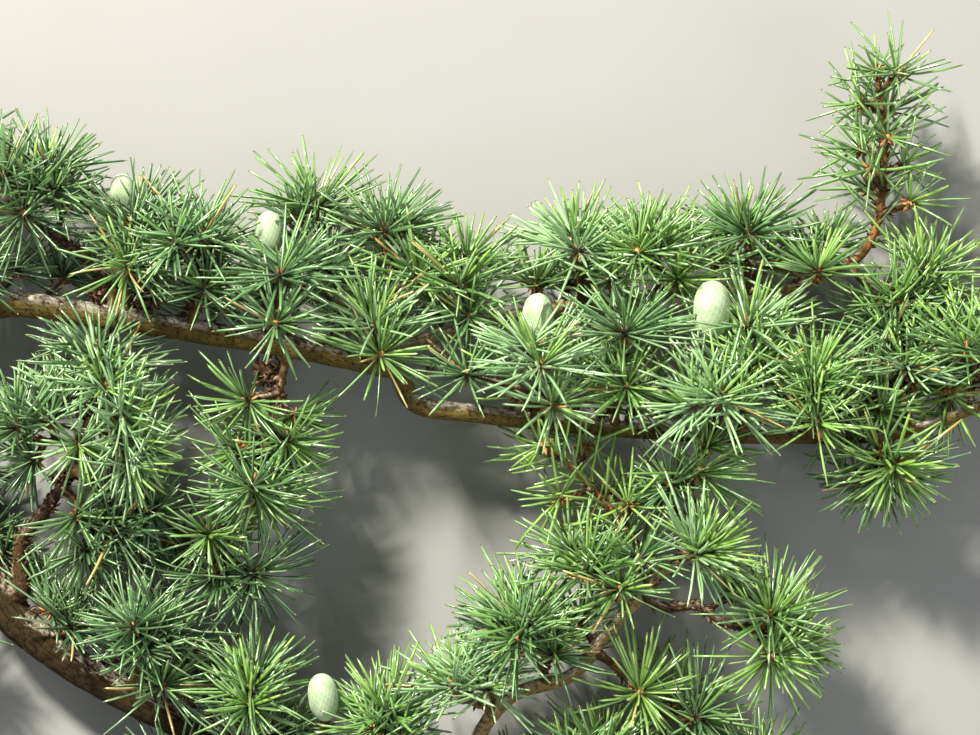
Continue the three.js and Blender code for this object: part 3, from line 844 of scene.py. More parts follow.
    def _keep_spur(
        self, start: Array, end: Array, faces: Array, size: float, spray: int, owner: int
    ) -> None:
        """Keeps a spur that has found its room, with its rosette.

        Args:
            start: Its foot, on the middle line of what carries it.
            end: Its tip, where the rosette stands.
            faces: Which way the rosette faces.
            size: The rosette's share of full size.
            spray: The spray that it counts with.
            owner: Who takes the room.
        """
        radius = (self.spur_radius, self.spur_radius)
        self.claims.add(start, end, *radius, owner)
        self._claim_core(end, owner)
        self.spurs.append(Shoot(Straight(start, end), radius, unit(end - start)))
        self.rosettes.append(Rosette(end, faces, size, spray))

    def _hides_a_limb(self, place: Array) -> bool:
        """Whether a rosette at a place would stand before a limb, as seen from its lit side."""
        if not self.sights:
            for limb in self.limbs.values():
                self.sights.append(limb.curve.at(even_shares(limb.curve.length, self.sight_step)))
        rows = np.vstack(self.sights)
        below, beside = rows[:, 1] - place[1], np.abs(rows[:, 0] - place[0])
        before = (below > -self.sight_above) & (below < self.sight_below) & (beside < self.sight_beside)
        return bool(np.any(before & (place[2] > rows[:, 2] - self.sight_depth)))

    def _try_finer(self, start: Array, out: Array, length: float, size: float, spray: int) -> None:
        """Keeps a finer spur if its tip and its rosette's core have room.

        Args:
            start: Its foot, on the middle line of what carries it.
            out: Its direction.
            length: Its length.
            size: Its rosette's share of full size.
            spray: The spray that it counts with.
        """
        out = self._lifted(start, out, length)
        end = start + out * length
        half = UP * self.ball_half
        if self._hides_a_limb(end):
            return
        if self.claims.is_clear(end - half, end + half, self.core, self.core_room):
            self._keep_spur(start, end, self._faces(SPRAYS[spray], out), size, spray, self._new_owner())

    def _grow_finer_spurs(self) -> None:
        """Adds short spurs along every spray's stem, where there is room."""
        for index, (plan, stem) in enumerate(zip(SPRAYS, self.stems)):
            if plan.young:
                continue
            draws = Seeded(self.finer_seed + index)
            count = int(stem.curve.length / self.finer_step)
            for k in range(count):
                share = blend(*self.finer_range, (k + draws.draw()) / count)
                turn = (k + self.finer_turn) * GOLDEN_TURN + draws.draw() * self.spur_stray
                out = turned_off(stem.curve.along(share), turn, draws.between(self.spur_lean))
                length = draws.between(self.finer_length)
                size = draws.between(self.finer_rosette)
                self._try_finer(stem.curve.at(share), out, length, size, index)

    def _grow_limb_spurs(self) -> None:
        """Adds short spurs along the limbs, most of them on the lit side, where there is room."""
        heads = np.array([plan.head for plan in SPRAYS], float)
        for number, limb in enumerate(self.limbs.values()):
            draws = Seeded(self.limb_spur_seed + number)
            count = int(limb.curve.length / self.limb_spur_step)
            for k in range(count):
                share = (k + draws.draw()) / count
                stray = np.array([draws.draw() - 0.5 for _ in range(3)]) * self.limb_spur_stray
                along = limb.curve.along(share)
                out = square_to(along, vector(self.limb_spur_faces) + stray)
                out = unit(out + along * draws.between(self.spur_lean))
                length = draws.between(self.limb_spur_length)
                size = draws.between(self.finer_rosette)
                middle, thick = limb.curve.at(share), limb.radius_at(share)
                start = middle + out * thick * self.limb_spur_root
                near = int(np.argmin(np.linalg.norm(heads - middle, axis=1)))
                length += thick * self.limb_spur_reach
                before = len(self.spurs)
                self._try_finer(start, out, length, size, near)
                if len(self.spurs) > before:
                    collar = self.spur_radius * self.limb_spur_collar
                    self.feet.append((middle + out * thick, collar))


class Batch:
    """Closed shapes of one kind that are gathered into one mesh, in millimetres until it is made."""

    def __init__(self, name: str, smooth: bool = True) -> None:
        """Starts an empty batch under the piece's name, with rounded or flat faces."""
        self.name = name
        self.smooth = smooth
        self._corners: list[Array] = []
        self._faces: list[Array] = []
        self._relief: list[Array] = []
        self._count = 0

    def add(self, corners: Array, faces: Array, relief: Array | None = None) -> None:
        """Adds shapes.

        Args:
            corners: Places, one row for each.
            faces: Triangles, as rows of three corner numbers.
            relief: How far each corner stands proud, from 0 in a crevice to 1 on a plate.
        """
        self._corners.append(corners)
        self._faces.append(faces + self._count)
        self._relief.append(np.ones(len(corners)) if relief is None else relief)
        self._count += len(corners)

    def make(self, material: Material, shift: Array) -> bpy.types.Object:
        """Makes the mesh.

        Args:
            material: Its finish.
            shift: From the growing frame to the model's, in millimetres.

        Returns:
            The new object, in metres.
        """
        corners = (np.vstack(self._corners) + shift) * MM
        faces = np.vstack(self._faces)
        mesh = bpy.data.meshes.new(self.name)
        mesh.vertices.add(len(corners))
        mesh.vertices.foreach_set("co", corners.astype(np.float32).ravel())
        mesh.loops.add(faces.size)
        mesh.loops.foreach_set("vertex_index", faces.astype(np.int32).ravel())
        mesh.polygons.add(len(faces))
        mesh.polygons.foreach_set("loop_start", np.arange(0, faces.size, 3, dtype=np.int32))
        mesh.update(calc_edges=True)
        if self.smooth:
            mesh.shade_smooth()
        relief = mesh.attributes.new("relief", "FLOAT", "POINT")
        relief.data.foreach_set("value", np.concatenate(self._relief).astype(np.float32))
        mesh.materials.append(material)
        piece = bpy.data.objects.new(self.name, mesh)
        bpy.context.scene.collection.objects.link(piece)
        return piece


def seat_piece(piece: bpy.types.Object, nodes: Iterable[str] = ()) -> None:
    """Puts a piece on the branch.

    Args:
        piece: The new object.
        nodes: The solids that it stands for.
    """
    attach(piece, "root")
    names = list(nodes)
    if names:
        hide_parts(*names)
    LOG.info("%s: %d triangles, for %d solids", piece.name, len(piece.data.polygons), len(names))


def band(low: Array, high: Array, step: int) -> Array:
    """Triangles of the sides between a ring's corners and the same corners a step on.

    Args:
        low: The first corner of each side.
        high: The second corner of each side.
        step: How many corners on the next ring is.

    Returns:
        Two triangles for each side.
    """
    return np.stack([low, high, high + step, low, high + step, low + step], axis=-1).reshape(-1, 3)


def cap(here: Array, ahead: Array, middle: int) -> Array:
    """Triangles from each side of a ring to one corner at its middle."""
    return np.stack([here, ahead, np.full(len(here), middle)], axis=-1)


def tube(centres: Array, radii: Array, sides: int, facing: Array) -> tuple[Array, Array]:
    """A closed tube round a line of places.

    Args:
        centres: Places along its middle line.
        radii: A radius for each place, or for each place and side.
        sides: How many sides it has.
        facing: Direction in which it leaves its foot.

    Returns:
        Its corners, ring by ring and then the middles of its two ends, and its triangles.
    """
    count = len(centres)
    tangents = np.gradient(centres, axis=0)
    tangents[0] = facing
    tangents = unit(tangents)
    turns = even_turns(sides)
    side = side_of(tangents[0])
    sides_at = np.empty((count, 3))
    for k in range(count):
        side = square_to(tangents[k], side)
        sides_at[k] = side
    ups = np.cross(tangents, sides_at)
    spokes = (
        sides_at[:, None, :] * np.cos(turns)[None, :, None]
        + ups[:, None, :] * np.sin(turns)[None, :, None]
    )
    widths = radii if radii.ndim == 2 else np.repeat(radii[:, None], sides, axis=1)
    rings = centres[:, None, :] + spokes * widths[:, :, None]
    corners = np.vstack([rings.reshape(-1, 3), centres[:1], centres[-1:]])
    here = np.arange(sides)
    ahead = (here + 1) % sides
    base = (np.arange(count - 1) * sides)[:, None]
    last = (count - 1) * sides
    foot_cap = cap(ahead, here, count * sides)
    tip_cap = cap(last + here, last + ahead, count * sides + 1)
    return corners, np.vstack([band(base + here, base + ahead, sides), foot_cap, tip_cap])


@dataclass(frozen=True)
class BladeShape:
    """Section and taper of a needle or scale: its rings' shares of the length and of the width."""

    rings: tuple[float, ...]
    widths: tuple[float, ...]
    pointed: bool


BLADE_SIDES = 4
POINT_AT = 0.96
POINT_WIDTH = 0.62
NEEDLE_BODY = BladeShape((0.0, 0.3, 0.68, POINT_AT), (0.7, 1.0, 0.97, POINT_WIDTH), False)
NEEDLE_POINT = BladeShape((POINT_AT,), (POINT_WIDTH,), True)
SCALE_BODY = BladeShape((0.0, 0.5), (0.75, 1.0), True)
SCALE_THICKNESS = 0.16
LOWEST_BLADE = 0.5


def blade_rows(
    bases: Array, outs: Array, bends: Array, lengths: Array, widths: Array, rolls: Array
) -> Array:
    """Rows of needles or scales, by foot, way out, bend of the tip, length, half width and roll."""
    return np.column_stack([bases, outs, bends, lengths, widths, rolls])


@dataclass
class Blades:
    """Needles or scales of one kind, gathered as rows before their mesh is worked out."""

    rows: list[Array] = field(default_factory=list)

    def shape(self, form: BladeShape, thickness: float) -> tuple[Array, Array, Array]:
        """Works out the mesh of all of them, with their middle lines kept clear of the floor.

        Args:
            form: Their rings and taper.
            thickness: Their thickness as a share of their width.

        Returns:
            Corners, triangles, and a relief that is 1 along each one's first rib and 0 elsewhere.
        """
        rows = np.vstack(self.rows)
        bases, outs, bends = rows[:, :3], rows[:, 3:6], rows[:, 6:9]
        lengths, widths, rolls = rows[:, 9:].T
        count = len(bases)
        shares = np.array((*form.rings, 1.0) if form.pointed else form.rings)
        ahead = outs[:, None, :] * shares[None, :, None]
        aside = bends[:, None, :] * (shares**2)[None, :, None]
        lines = bases[:, None, :] + (ahead + aside) * lengths[:, None, None]
        lines[..., 2] = np.maximum(lines[..., 2], LOWEST_BLADE)
        flat = unit(np.cross(outs, np.where(np.abs(outs[:, 2:]) < STEEP, UP, EAST)))
        steep = np.cross(flat, outs)
        across = flat * np.cos(rolls)[:, None] + steep * np.sin(rolls)[:, None]
        through = (steep * np.cos(rolls)[:, None] - flat * np.sin(rolls)[:, None]) * thickness
        rings = len(form.rings)
        taper = np.array(form.widths)[None, :, None] * widths[:, None, None]
        spokes = [across * math.cos(a) + through * math.sin(a) for a in even_turns(BLADE_SIDES)]
        ribs = [lines[:, :rings] + spoke[:, None, :] * taper for spoke in spokes]
        section = np.stack(ribs, axis=2).reshape(count, rings * BLADE_SIDES, 3)
        corners = np.concatenate([section, lines[:, -1:]], axis=1) if form.pointed else section
        pattern = self._pattern(rings, form.pointed)
        each = corners.shape[1]
        faces = pattern[None, :, :] + (np.arange(count) * each)[:, None, None]
        rib = np.zeros(each)
        rib[: rings * BLADE_SIDES : BLADE_SIDES] = 1.0
        return corners.reshape(-1, 3), faces.reshape(-1, 3), np.tile(rib, count)

    @staticmethod
    def _pattern(rings: int, pointed: bool) -> Array:
        """Triangles of one blade, which ends in a point or in a flat end."""
        sides = BLADE_SIDES
        faces = [(0, k + 1, k) for k in range(1, sides - 1)]
        for ring in range(rings - 1):
            for k in range(sides):
                low, high = ring * sides + k, ring * sides + (k + 1) % sides
                faces += [(low, high, high + sides), (low, high + sides, low + sides)]
        last = (rings - 1) * sides
        if pointed:
            faces += [(last + k, last + (k + 1) % sides, last + sides) for k in range(sides)]
        else:
            faces += [(last, last + k, last + k + 1) for k in range(1, sides - 1)]
        return np.array(faces)


class Sheet:
    """A material's nodes, laid out one by one."""

    def __init__(self, name: str) -> None:
        """Starts a material that holds only its output and one shader."""
        self.material = bpy.data.materials.new(name)
        self.material.use_nodes = True
        self.tree = self.material.node_tree
        self.tree.nodes.clear()
        output = self.tree.nodes.new("ShaderNodeOutputMaterial")
        self.shader = self.tree.nodes.new("ShaderNodeBsdfPrincipled")
        self.tree.links.new(self.shader.outputs["BSDF"], output.inputs["Surface"])

    def add(self, kind: str, inputs: dict | None = None, **settings: object) -> bpy.types.Node:
        """Adds a node.

        Args:
            kind: Its Blender type.
            inputs: Values or outputs of other nodes for its sockets, by name or number.
            settings: Its own properties.

        Returns:
            The node.
        """
        node = self.tree.nodes.new(kind)
        for name, value in settings.items():
            setattr(node, name, value)
        for key, value in (inputs or {}).items():
            self.feed(node.inputs[key], value)
        return node

    def feed(self, socket: Socket, value: object) -> None:
        """Sets a socket to a value, or links it to another node's output."""
        if isinstance(value, Socket):
            self.tree.links.new(value, socket)
        elif isinstance(value, tuple) and len(value) == 3 and socket.type == "RGBA":
            socket.default_value = (*value, 1.0)
        else:
            socket.default_value = value

    def place(self) -> Socket:
        """Places on the piece, in metres."""
        return self.add("ShaderNodeTexCoord").outputs["Object"]

    def relief(self) -> Socket:
        """The relief that the mesh keeps at its corners."""
        return self.add("ShaderNodeAttribute", attribute_name="relief").outputs["Fac"]

    def chance(self) -> Socket:
        """A number from 0 to 1 that is the same all over one needle or scale."""
        return self.add("ShaderNodeNewGeometry").outputs["Random Per Island"]

    def noise(self, grain: float, detail: float = 4.0, rough: float = 0.55) -> Socket:
        """Even noise from 0 to 1, by its grain in millimetres and the number and strength of finer layers."""
        inputs = {"Vector": self.place(), "Scale": 1 / (grain * MM), "Detail": detail, "Roughness": rough}
        return self.add("ShaderNodeTexNoise", inputs).outputs["Fac"]

    def ramp(self, value: Socket, *stops: tuple[float, Colour]) -> Socket:
        """A colour for each value.

        Args:
            value: What it follows.
            stops: Places from 0 to 1 with their colours, in order.

        Returns:
            The colour.
        """
        node = self.add("ShaderNodeValToRGB", {"Fac": value})
        elements = node.color_ramp.elements
        for element, (place, colour) in zip(elements, (stops[0], stops[-1])):
            element.position = place
            element.color = (*colour, 1.0)
        for place, colour in stops[1:-1]:
            elements.new(place).color = (*colour, 1.0)
        return node.outputs["Color"]

    def mix(self, share: object, one: object, other: object, how: str = "MIX") -> Socket:
        """Two colours mixed.

        Args:
            share: How much of the second.
            one: The first.
            other: The second.
            how: The way they mix.

        Returns:
            The colour.
        """
        node = self.add("ShaderNodeMix", data_type="RGBA", blend_type=how)
        for socket, value in zip((node.inputs[0], node.inputs[6], node.inputs[7]), (share, one, other)):
            self.feed(socket, value)
        return node.outputs[2]

    def spread(self, value: Socket, to: Span, low: float = 0.3, high: float = 0.7) -> Socket:
        """A value moved from between low and high, where most noise lies, to within another range."""
        inputs = {"Value": value, "From Min": low, "From Max": high, "To Min": to[0], "To Max": to[1]}
        return self.add("ShaderNodeMapRange", inputs).outputs["Result"]

    def math(self, how: str, one: object, other: object = 0.0) -> Socket:
        """Result of one operation on one or two values."""
        return self.add("ShaderNodeMath", {0: one, 1: other}, operation=how).outputs[0]

    def bump(self, height: Socket, depth: float, strength: float = 1.0) -> None:
        """Gives the shader a bumpy surface.

        Args:
            height: Height, from 0 to 1.
            depth: What 1 stands for, in millimetres.
            strength: Share of it that shows.
        """
        inputs = {"Height": height, "Distance": depth * MM, "Strength": strength}
        node = self.add("ShaderNodeBump", inputs)
        self.tree.links.new(node.outputs["Normal"], self.shader.inputs["Normal"])

    def finish(self, colour: object, roughness: object, **values: float) -> Material:
        """Feeds the shader.

        Args:
            colour: Base colour.
            roughness: Roughness.
            values: Even values of other sockets, with low lines for spaces in their names.

        Returns:
            The material.
        """
        self.feed(self.shader.inputs["Base Color"], colour)
        self.feed(self.shader.inputs["Roughness"], roughness)
        for name, value in values.items():
            self.feed(self.shader.inputs[name.replace("_", " ")], value)
        return self.material


@dataclass(frozen=True)
class NeedleFinish:
    """Waxy skin of the needles, in one tint, with a little change from needle to needle, and a pale line
    along one rib that is partly the needles' own wax and partly a painted glint.
    """

    tone: Tone
    colour: Colour
    darker: Colour
    bloom: float
    wax_line_and_glint_share: float = 0.6
    wax_line_and_glint: Colour = (0.50, 0.73, 0.35)

    def material(self) -> Material:
        """Makes it."""
        sheet = Sheet(f"needle_{self.tone.value}_skin")
        each = sheet.chance()
        tint = sheet.ramp(each, (0.0, self.darker), (0.55, self.colour), (1.0, brighter(self.colour, 1.35)))
        patch = sheet.noise(14.0, 2.0)
        colour = sheet.mix(sheet.spread(patch, (0.0, 0.45), 0.35, 0.7), tint, self.darker)
        # A pale line along each needle's first rib: the needles' own wax, made pale enough that it also
        # serves as a painted glint.
        rib = sheet.relief()
        colour = sheet.mix(sheet.spread(rib, (0.0, self.wax_line_and_glint_share), 0.25, 0.95), colour, self.wax_line_and_glint)
        rough = sheet.spread(sheet.noise(2.5, 3.0), (0.22, 0.38))
        return sheet.finish(
            colour,
            rough,
            Specular_IOR_Level=0.8,
            Coat_Weight=0.4,
            Coat_Roughness=0.16,
            Sheen_Weight=self.bloom,
            Sheen_Roughness=0.45,
        )


NEEDLE_FINISHES = (
    NeedleFinish(Tone.DEEP, (0.054, 0.156, 0.038), (0.020, 0.068, 0.019), 0.06),
    NeedleFinish(Tone.SEA, (0.102, 0.245, 0.068), (0.040, 0.122, 0.035), 0.10),
    NeedleFinish(Tone.LEAF, (0.150, 0.325, 0.052), (0.062, 0.165, 0.028), 0.06),
    NeedleFinish(Tone.FRESH, (0.285, 0.490, 0.070), (0.135, 0.290, 0.040), 0.04),
    NeedleFinish(Tone.SILVER, (0.335, 0.535, 0.240), (0.165, 0.335, 0.120), 0.18),
    NeedleFinish(Tone.DRY, (0.620, 0.360, 0.090), (0.350, 0.170, 0.045), 0.05),
)


@dataclass(frozen=True)
class PointFinish:
    """Pale horny points of the needles."""

    colour: Colour = (0.42, 0.38, 0.16)
    darker: Colour = (0.2, 0.22, 0.08)

    def material(self) -> Material:
        """Makes it."""
        sheet = Sheet("needle_point_horn")
        each = sheet.chance()
        colour = sheet.mix(each, self.darker, self.colour)
        rough = sheet.spread(sheet.noise(3.0, 2.0), (0.35, 0.55))
        return sheet.finish(colour, rough)


@dataclass(frozen=True)
class BarkFinish:
    """Scaly bark: dark in its crevices, brown on its plates, with pale flakes only on the side that faces the
    light, partly real flakes and partly a painted highlight.
    """

    name: str
    crevice: Colour
    plate: Colour
    pale: Colour
    flakes_and_highlight: float
    lit: Span = (0.45, 0.85)

    def material(self) -> Material:
        """Makes it."""
        sheet = Sheet(self.name)
        relief = sheet.relief()
        grain = sheet.noise(1.1, 6.0, 0.65)
        patch = sheet.noise(9.0, 3.0)
        plates = sheet.mix(sheet.spread(patch, (0.0, 1.0), 0.35, 0.68), self.plate, brighter(self.plate, 1.5))
        plates = sheet.mix(sheet.spread(grain, (0.65, 0.0), 0.35, 0.7), plates, brighter(self.plate, 0.45))
        # Painted highlight: the pale flakes show only where the surface faces +Y and up, towards the light.
        # The flakes themselves are real.
        facing = sheet.add("ShaderNodeSeparateXYZ", {0: sheet.add("ShaderNodeNewGeometry").outputs["Normal"]})
        lit = sheet.math("ADD", facing.outputs["Y"], sheet.math("MULTIPLY", facing.outputs["Z"], 0.35))
        flakes = sheet.spread(sheet.noise(3.6, 5.0, 0.7), (0.0, self.flakes_and_highlight), 0.42, 0.56)
        share = sheet.math("MULTIPLY", flakes, sheet.spread(lit, (0.02, 1.0), *self.lit))
        plates = sheet.mix(share, plates, self.pale)
        colour = sheet.mix(sheet.spread(relief, (0.9, 0.0), 0.05, 0.55), plates, self.crevice)
        sheet.bump(sheet.math("ADD", grain, sheet.noise(0.35, 3.0)), 0.3, 0.8)
        rough = sheet.spread(grain, (0.95, 0.7))
        return sheet.finish(colour, rough, Specular_IOR_Level=0.12)


@dataclass(frozen=True)
class ScaleFinish:
    """Dry papery scales and buds."""

    name: str
    colour: Colour
    darker: Colour
    paler: Colour

    def material(self) -> Material:
        """Makes it."""
        sheet = Sheet(self.name)
        each = sheet.chance()
        tint = sheet.ramp(each, (0.0, self.darker), (0.5, self.colour), (1.0, self.paler))
        grain = sheet.noise(0.9, 4.0)
        colour = sheet.mix(sheet.spread(grain, (0.0, 0.6), 0.35, 0.7), tint, self.darker)
        sheet.bump(grain, 0.12, 0.6)
        return sheet.finish(colour, sheet.spread(grain, (0.5, 0.75)))


# The thick stem's bark: its plates are made darker than the bark itself as painted shade, and its pale flakes
# are kept to the top edge as painted highlight.
OLD_BARK_PAINTED_SHADE = BarkFinish(
    "old_bark", (0.010, 0.006, 0.002), (0.036, 0.023, 0.006), (0.68, 0.57, 0.45), 0.95, (0.58, 0.9)
)
# The main limb's bark: its plates are made a little lighter as painted light, where the needles shade the
# limb.
GROWN_BARK_PAINTED_LIGHT = BarkFinish(
    "grown_bark", (0.036, 0.024, 0.009), (0.175, 0.122, 0.032), (0.62, 0.56, 0.47), 0.95
)
# The rear limb's and the lower branch's bark: its plates are made lighter as painted sunlight, and its pale
# flakes spread over most of the lit side.
BRANCH_BARK_PAINTED_LIGHT = BarkFinish(
    "branch_bark", (0.10, 0.060, 0.024), (0.390, 0.265, 0.110), (0.82, 0.70, 0.52), 0.95, (0.1, 0.6)
)
TWIG_BARK = BarkFinish(
    "twig_bark", (0.025, 0.015, 0.008), (0.095, 0.056, 0.025), (0.58, 0.47, 0.38), 0.75, (0.2, 0.8)
)
# The sprays' stem bark: its plates are made lighter as painted sunlight.
SHOOT_BARK_PAINTED_LIGHT = BarkFinish(
    "shoot_bark", (0.032, 0.017, 0.008), (0.175, 0.094, 0.034), (0.62, 0.46, 0.28), 0.7, (0.25, 0.85)
)
# The young shoots' bark: a tan of its own, made lighter still as painted sunlight.
NEW_SHOOT_BARK_PAINTED_LIGHT = BarkFinish(
    "new_shoot_bark", (0.050, 0.020, 0.007), (0.340, 0.165, 0.055), (0.80, 0.58, 0.33), 0.7, (0.25, 0.85)
)
SPUR_BARK = BarkFinish(
    "spur_bark", (0.024, 0.014, 0.007), (0.120, 0.070, 0.031), (0.56, 0.45, 0.35), 0.8, (0.25, 0.85)
)
TWIG_SCALES = ScaleFinish(
    "twig_scale_paper", (0.19, 0.085, 0.035), (0.06, 0.028, 0.013), (0.50, 0.31, 0.17)
)
BUD_SCALES = ScaleFinish("bud_scale_paper", (0.56, 0.25, 0.06), (0.20, 0.08, 0.03), (0.84, 0.54, 0.20))


@dataclass(frozen=True)
class FruitFinish:
    """Skin of a young cone: pale green under a bloom, with fine speckles along its scales."""

    colour: Colour = (0.40, 0.56, 0.29)
    bloom: Colour = (0.66, 0.77, 0.54)
    seam: Colour = (0.22, 0.36, 0.14)

    def material(self) -> Material:
        """Makes it."""
        sheet = Sheet("young_cone_skin")
        relief = sheet.relief()
        patch = sheet.noise(5.0, 3.0)
        skin = sheet.mix(sheet.spread(patch, (0.1, 0.9), 0.35, 0.65), self.colour, self.bloom)
        speckle = sheet.spread(sheet.noise(0.55, 3.0, 0.6), (0.0, 0.55), 0.52, 0.68)
        skin = sheet.mix(speckle, skin, brighter(self.bloom, 1.15))
        colour = sheet.mix(sheet.spread(relief, (0.4, 0.0), 0.1, 0.5), skin, self.seam)
        sheet.bump(sheet.noise(0.5, 3.0), 0.08, 0.5)
        return sheet.finish(colour, sheet.spread(patch, (0.55, 0.72)), Sheen_Weight=0.2)


@dataclass(frozen=True)
class CutWoodFinish:
    """Sawn wood: rings about the stem's middle, with a darker rim of bark."""

    middle: Place
    colour: Colour = (0.62, 0.43, 0.24)
    ring: Colour = (0.42, 0.25, 0.12)
    ring_step: float = 0.95

    def material(self) -> Material:
        """Makes it."""
        sheet = Sheet("sawn_wood")
        away = sheet.add("ShaderNodeVectorMath", {0: sheet.place(), 1: self.middle}, operation="SUBTRACT")
        bent = sheet.noise(6.0, 2.0)
        length = sheet.add("ShaderNodeVectorMath", {0: away.outputs[0]}, operation="LENGTH")
        wander = sheet.math("MULTIPLY", bent, 1.4 * MM)
        reach = sheet.math("ADD", length.outputs["Value"], wander)
        turns = sheet.math("MULTIPLY", reach, FULL_TURN / (self.ring_step * MM))
        wave = sheet.spread(sheet.math("SINE", turns), (0.0, 1.0), -0.2, 1.0)
        grain = sheet.noise(0.5, 4.0, 0.7)
        colour = sheet.mix(wave, self.colour, self.ring)
        colour = sheet.mix(sheet.spread(grain, (0.0, 0.5), 0.4, 0.75), colour, brighter(self.ring, 0.7))
        sheet.bump(grain, 0.15, 0.6)
        return sheet.finish(colour, sheet.spread(grain, (0.6, 0.85)))


@dataclass(frozen=True)
class FloorFinish:
    """Plain pale floor."""

    colour: Colour = (0.37, 0.365, 0.345)

    def material(self) -> Material:
        """Makes it."""
        sheet = Sheet("pale_floor")
        patch = sheet.noise(60.0, 3.0)
        share = sheet.spread(patch, (0.0, 0.25))
        colour = sheet.mix(share, self.colour, brighter(self.colour, 0.94))
        return sheet.finish(colour, sheet.spread(patch, (0.7, 0.8)))


def brighter(colour: Colour, times: float) -> Colour:
    """A colour made brighter, or darker for times below 1."""
    return tuple(min(1.0, part * times) for part in colour)


@dataclass
class Bark:
    """Bark of one chain of limbs that go on from each other: a single mesh with its relief."""

    name: str
    chain: tuple[str, ...]
    finish: BarkFinish
    slot: Slot
    growth: Growth
    ring_step: float = 1.05
    side_width: float = 0.85
    plate_length: float = 6.2
    plate_width: float = 2.9
    fewest_plates: int = 5
    plate_first: float = 0.15
    plate_stray: float = 0.7
    full_plates_at: float = 8.0
    least_plates: float = 0.42
    warp: float = 0.35
    warp_size: float = 5.0
    edge: float = 0.3
    groove: float = 0.28
    proud: float = 0.16
    fine: float = 0.06
    fine_size: float = 0.9
    lump: float = 0.35
    lump_size: float = 7.0
    lump_base: float = 0.3
    plate_relief: float = 0.55
    fine_relief: float = 0.15
    collar: float = 0.3
    collar_reach: float = 1.5
    root: float = 0.8
    tip_least: float = 0.15
    swell: float = 0.45
    swell_width: float = 1.9
    swell_reach: float = 5

    def build(self, shift: Array) -> None:
        """Builds the mesh, dresses it and puts it on the branch."""
        limbs = [self.growth.limbs[name] for name in self.chain]
        centres, radii = self._middle_line(limbs)
        sides = int(FULL_TURN * float(radii.max()) / self.side_width) // 2 * 2
        facing = limbs[0].facing
        smooth, _ = tube(centres, radii, sides, facing)
        places = smooth[:-2]
        turns = np.tile(np.arange(sides) / sides, len(centres))
        travel = np.repeat(travelled(centres), sides)
        thick = np.repeat(radii, sides)
        depth, relief = self._relief(places, travel, turns, thick)
        widths = (thick + depth + self._swell(places)).reshape(len(centres), sides)
        corners, faces = tube(centres, widths, sides, facing)
        batch = Batch(self.name)
        batch.add(corners, faces, np.concatenate([relief, [1.0, 1.0]]))
        seat_piece(batch.make(self.finish.material(), shift), self.chain)

    def _middle_line(self, limbs: list[Limb]) -> tuple[Array, Array]:
        """Places and radii along the chain, from within what carries it to its rounded tip."""
        centres, radii = [], []
        first = limbs[0]
        if first.plan.springs:
            reach = self.growth.joint_gap + first.plan.radius[0] * self.root
            back = np.arange(reach, 0.0, -self.ring_step)
            centres.append(first.curve.at(0.0) - first.facing * back[:, None])
            radii.append(np.full(len(back), first.plan.radius[0]))
        for limb in limbs:
            shares = even_shares(limb.curve.length, self.ring_step)
            centres.append(limb.curve.at(shares))
            radii.append(limb.radius_at(shares))
        line, widths = np.vstack(centres), np.concatenate(radii)
        travel = travelled(line)
        if first.plan.springs:
            reach = self.collar_reach * first.plan.radius[0]
            widths = widths * (1 + self.collar * np.exp(-travel / reach))
        left = travel[-1] - travel
        widths = widths * np.sqrt(np.clip(left / widths[-1], self.tip_least, 1.0))
        return line, widths

    def _relief(self, places: Array, travel: Array, turns: Array, thick: Array) -> tuple[Array, Array]:
        """Plates with grooves between them, on a lumpy ground.

        Args:
            places: Points of the smooth surface.
            travel: How far along the chain each is.
            turns: Share of a turn round it.
            thick: Radius there.

        Returns:
            Depth of each point in millimetres, and its relief from 0 to 1.
        """
        scale = np.clip(thick / self.full_plates_at, self.least_plates, 1.0)
        size = float(np.median(scale))
        around = FULL_TURN * float(np.median(thick))
        count = max(self.fewest_plates, int(around / (self.plate_width * size)))
        warp = lumps(places, self.warp_size, Salt.WARP)
        along = travel / (self.plate_length * size) + self.warp * warp
        height, edge = self._plates(along, turns * count, count)
        fine = lumps(places, self.fine_size, Salt.FINE)
        depth = -self.groove * (1 - edge) + self.proud * height * edge + self.fine * fine
        ground = lumps(places, self.lump_size, Salt.LUMP) - self.lump_base
        depth = depth * scale + self.lump * scale * ground
        plates = edge * (self.plate_relief + (1 - self.plate_relief) * height)
        return depth, np.clip(plates + self.fine_relief * fine, 0, 1)

    def _plates(self, along: Array, around: Array, count: int) -> tuple[Array, Array]:
        """Plates about straying seeds, one to a cell.

        Args:
            along: Places along the limb, counted in plates.
            around: Places round it, counted in plates.
            count: How many plates go round it.

        Returns:
            How high the plate is that each place is on, and a share that is 0 at its edge.
        """
        nearest = np.full(len(along), np.inf)
        second = np.full(len(along), np.inf)
        height = np.zeros(len(along))
        for offset in np.ndindex(3, 3):
            row = np.floor(along).astype(int) + offset[0] - 1
            column = np.floor(around).astype(int) + offset[1] - 1
            key = np.mod(column, count)
            seed_along = row + self.plate_first + self.plate_stray * hashed(Salt.PLATE_ALONG, row, key)
            seed_round = column + self.plate_first + self.plate_stray * hashed(Salt.PLATE_ROUND, row, key)
            distance = np.hypot(seed_along - along, seed_round - around)
            closer = distance < nearest
            second = np.where(closer, nearest, np.minimum(second, distance))
            height = np.where(closer, hashed(Salt.PLATE_HEIGHT, row, key), height)
            nearest = np.where(closer, distance, nearest)
        return height, eased(np.clip((second - nearest) / self.edge, 0, 1))

    def _swell(self, places: Array) -> Array:
        """How far the bark swells round the feet of what it carries, in millimetres."""
        swell = np.zeros(len(places))
        for foot, radius in self.growth.feet:
            away = np.linalg.norm(places - foot, axis=1)
            near = away < radius * self.swell_reach
            bulge = self.swell * radius * np.exp(-((away[near] / (self.swell_width * radius)) ** 2))
            swell[near] = np.maximum(swell[near], bulge)
        return swell


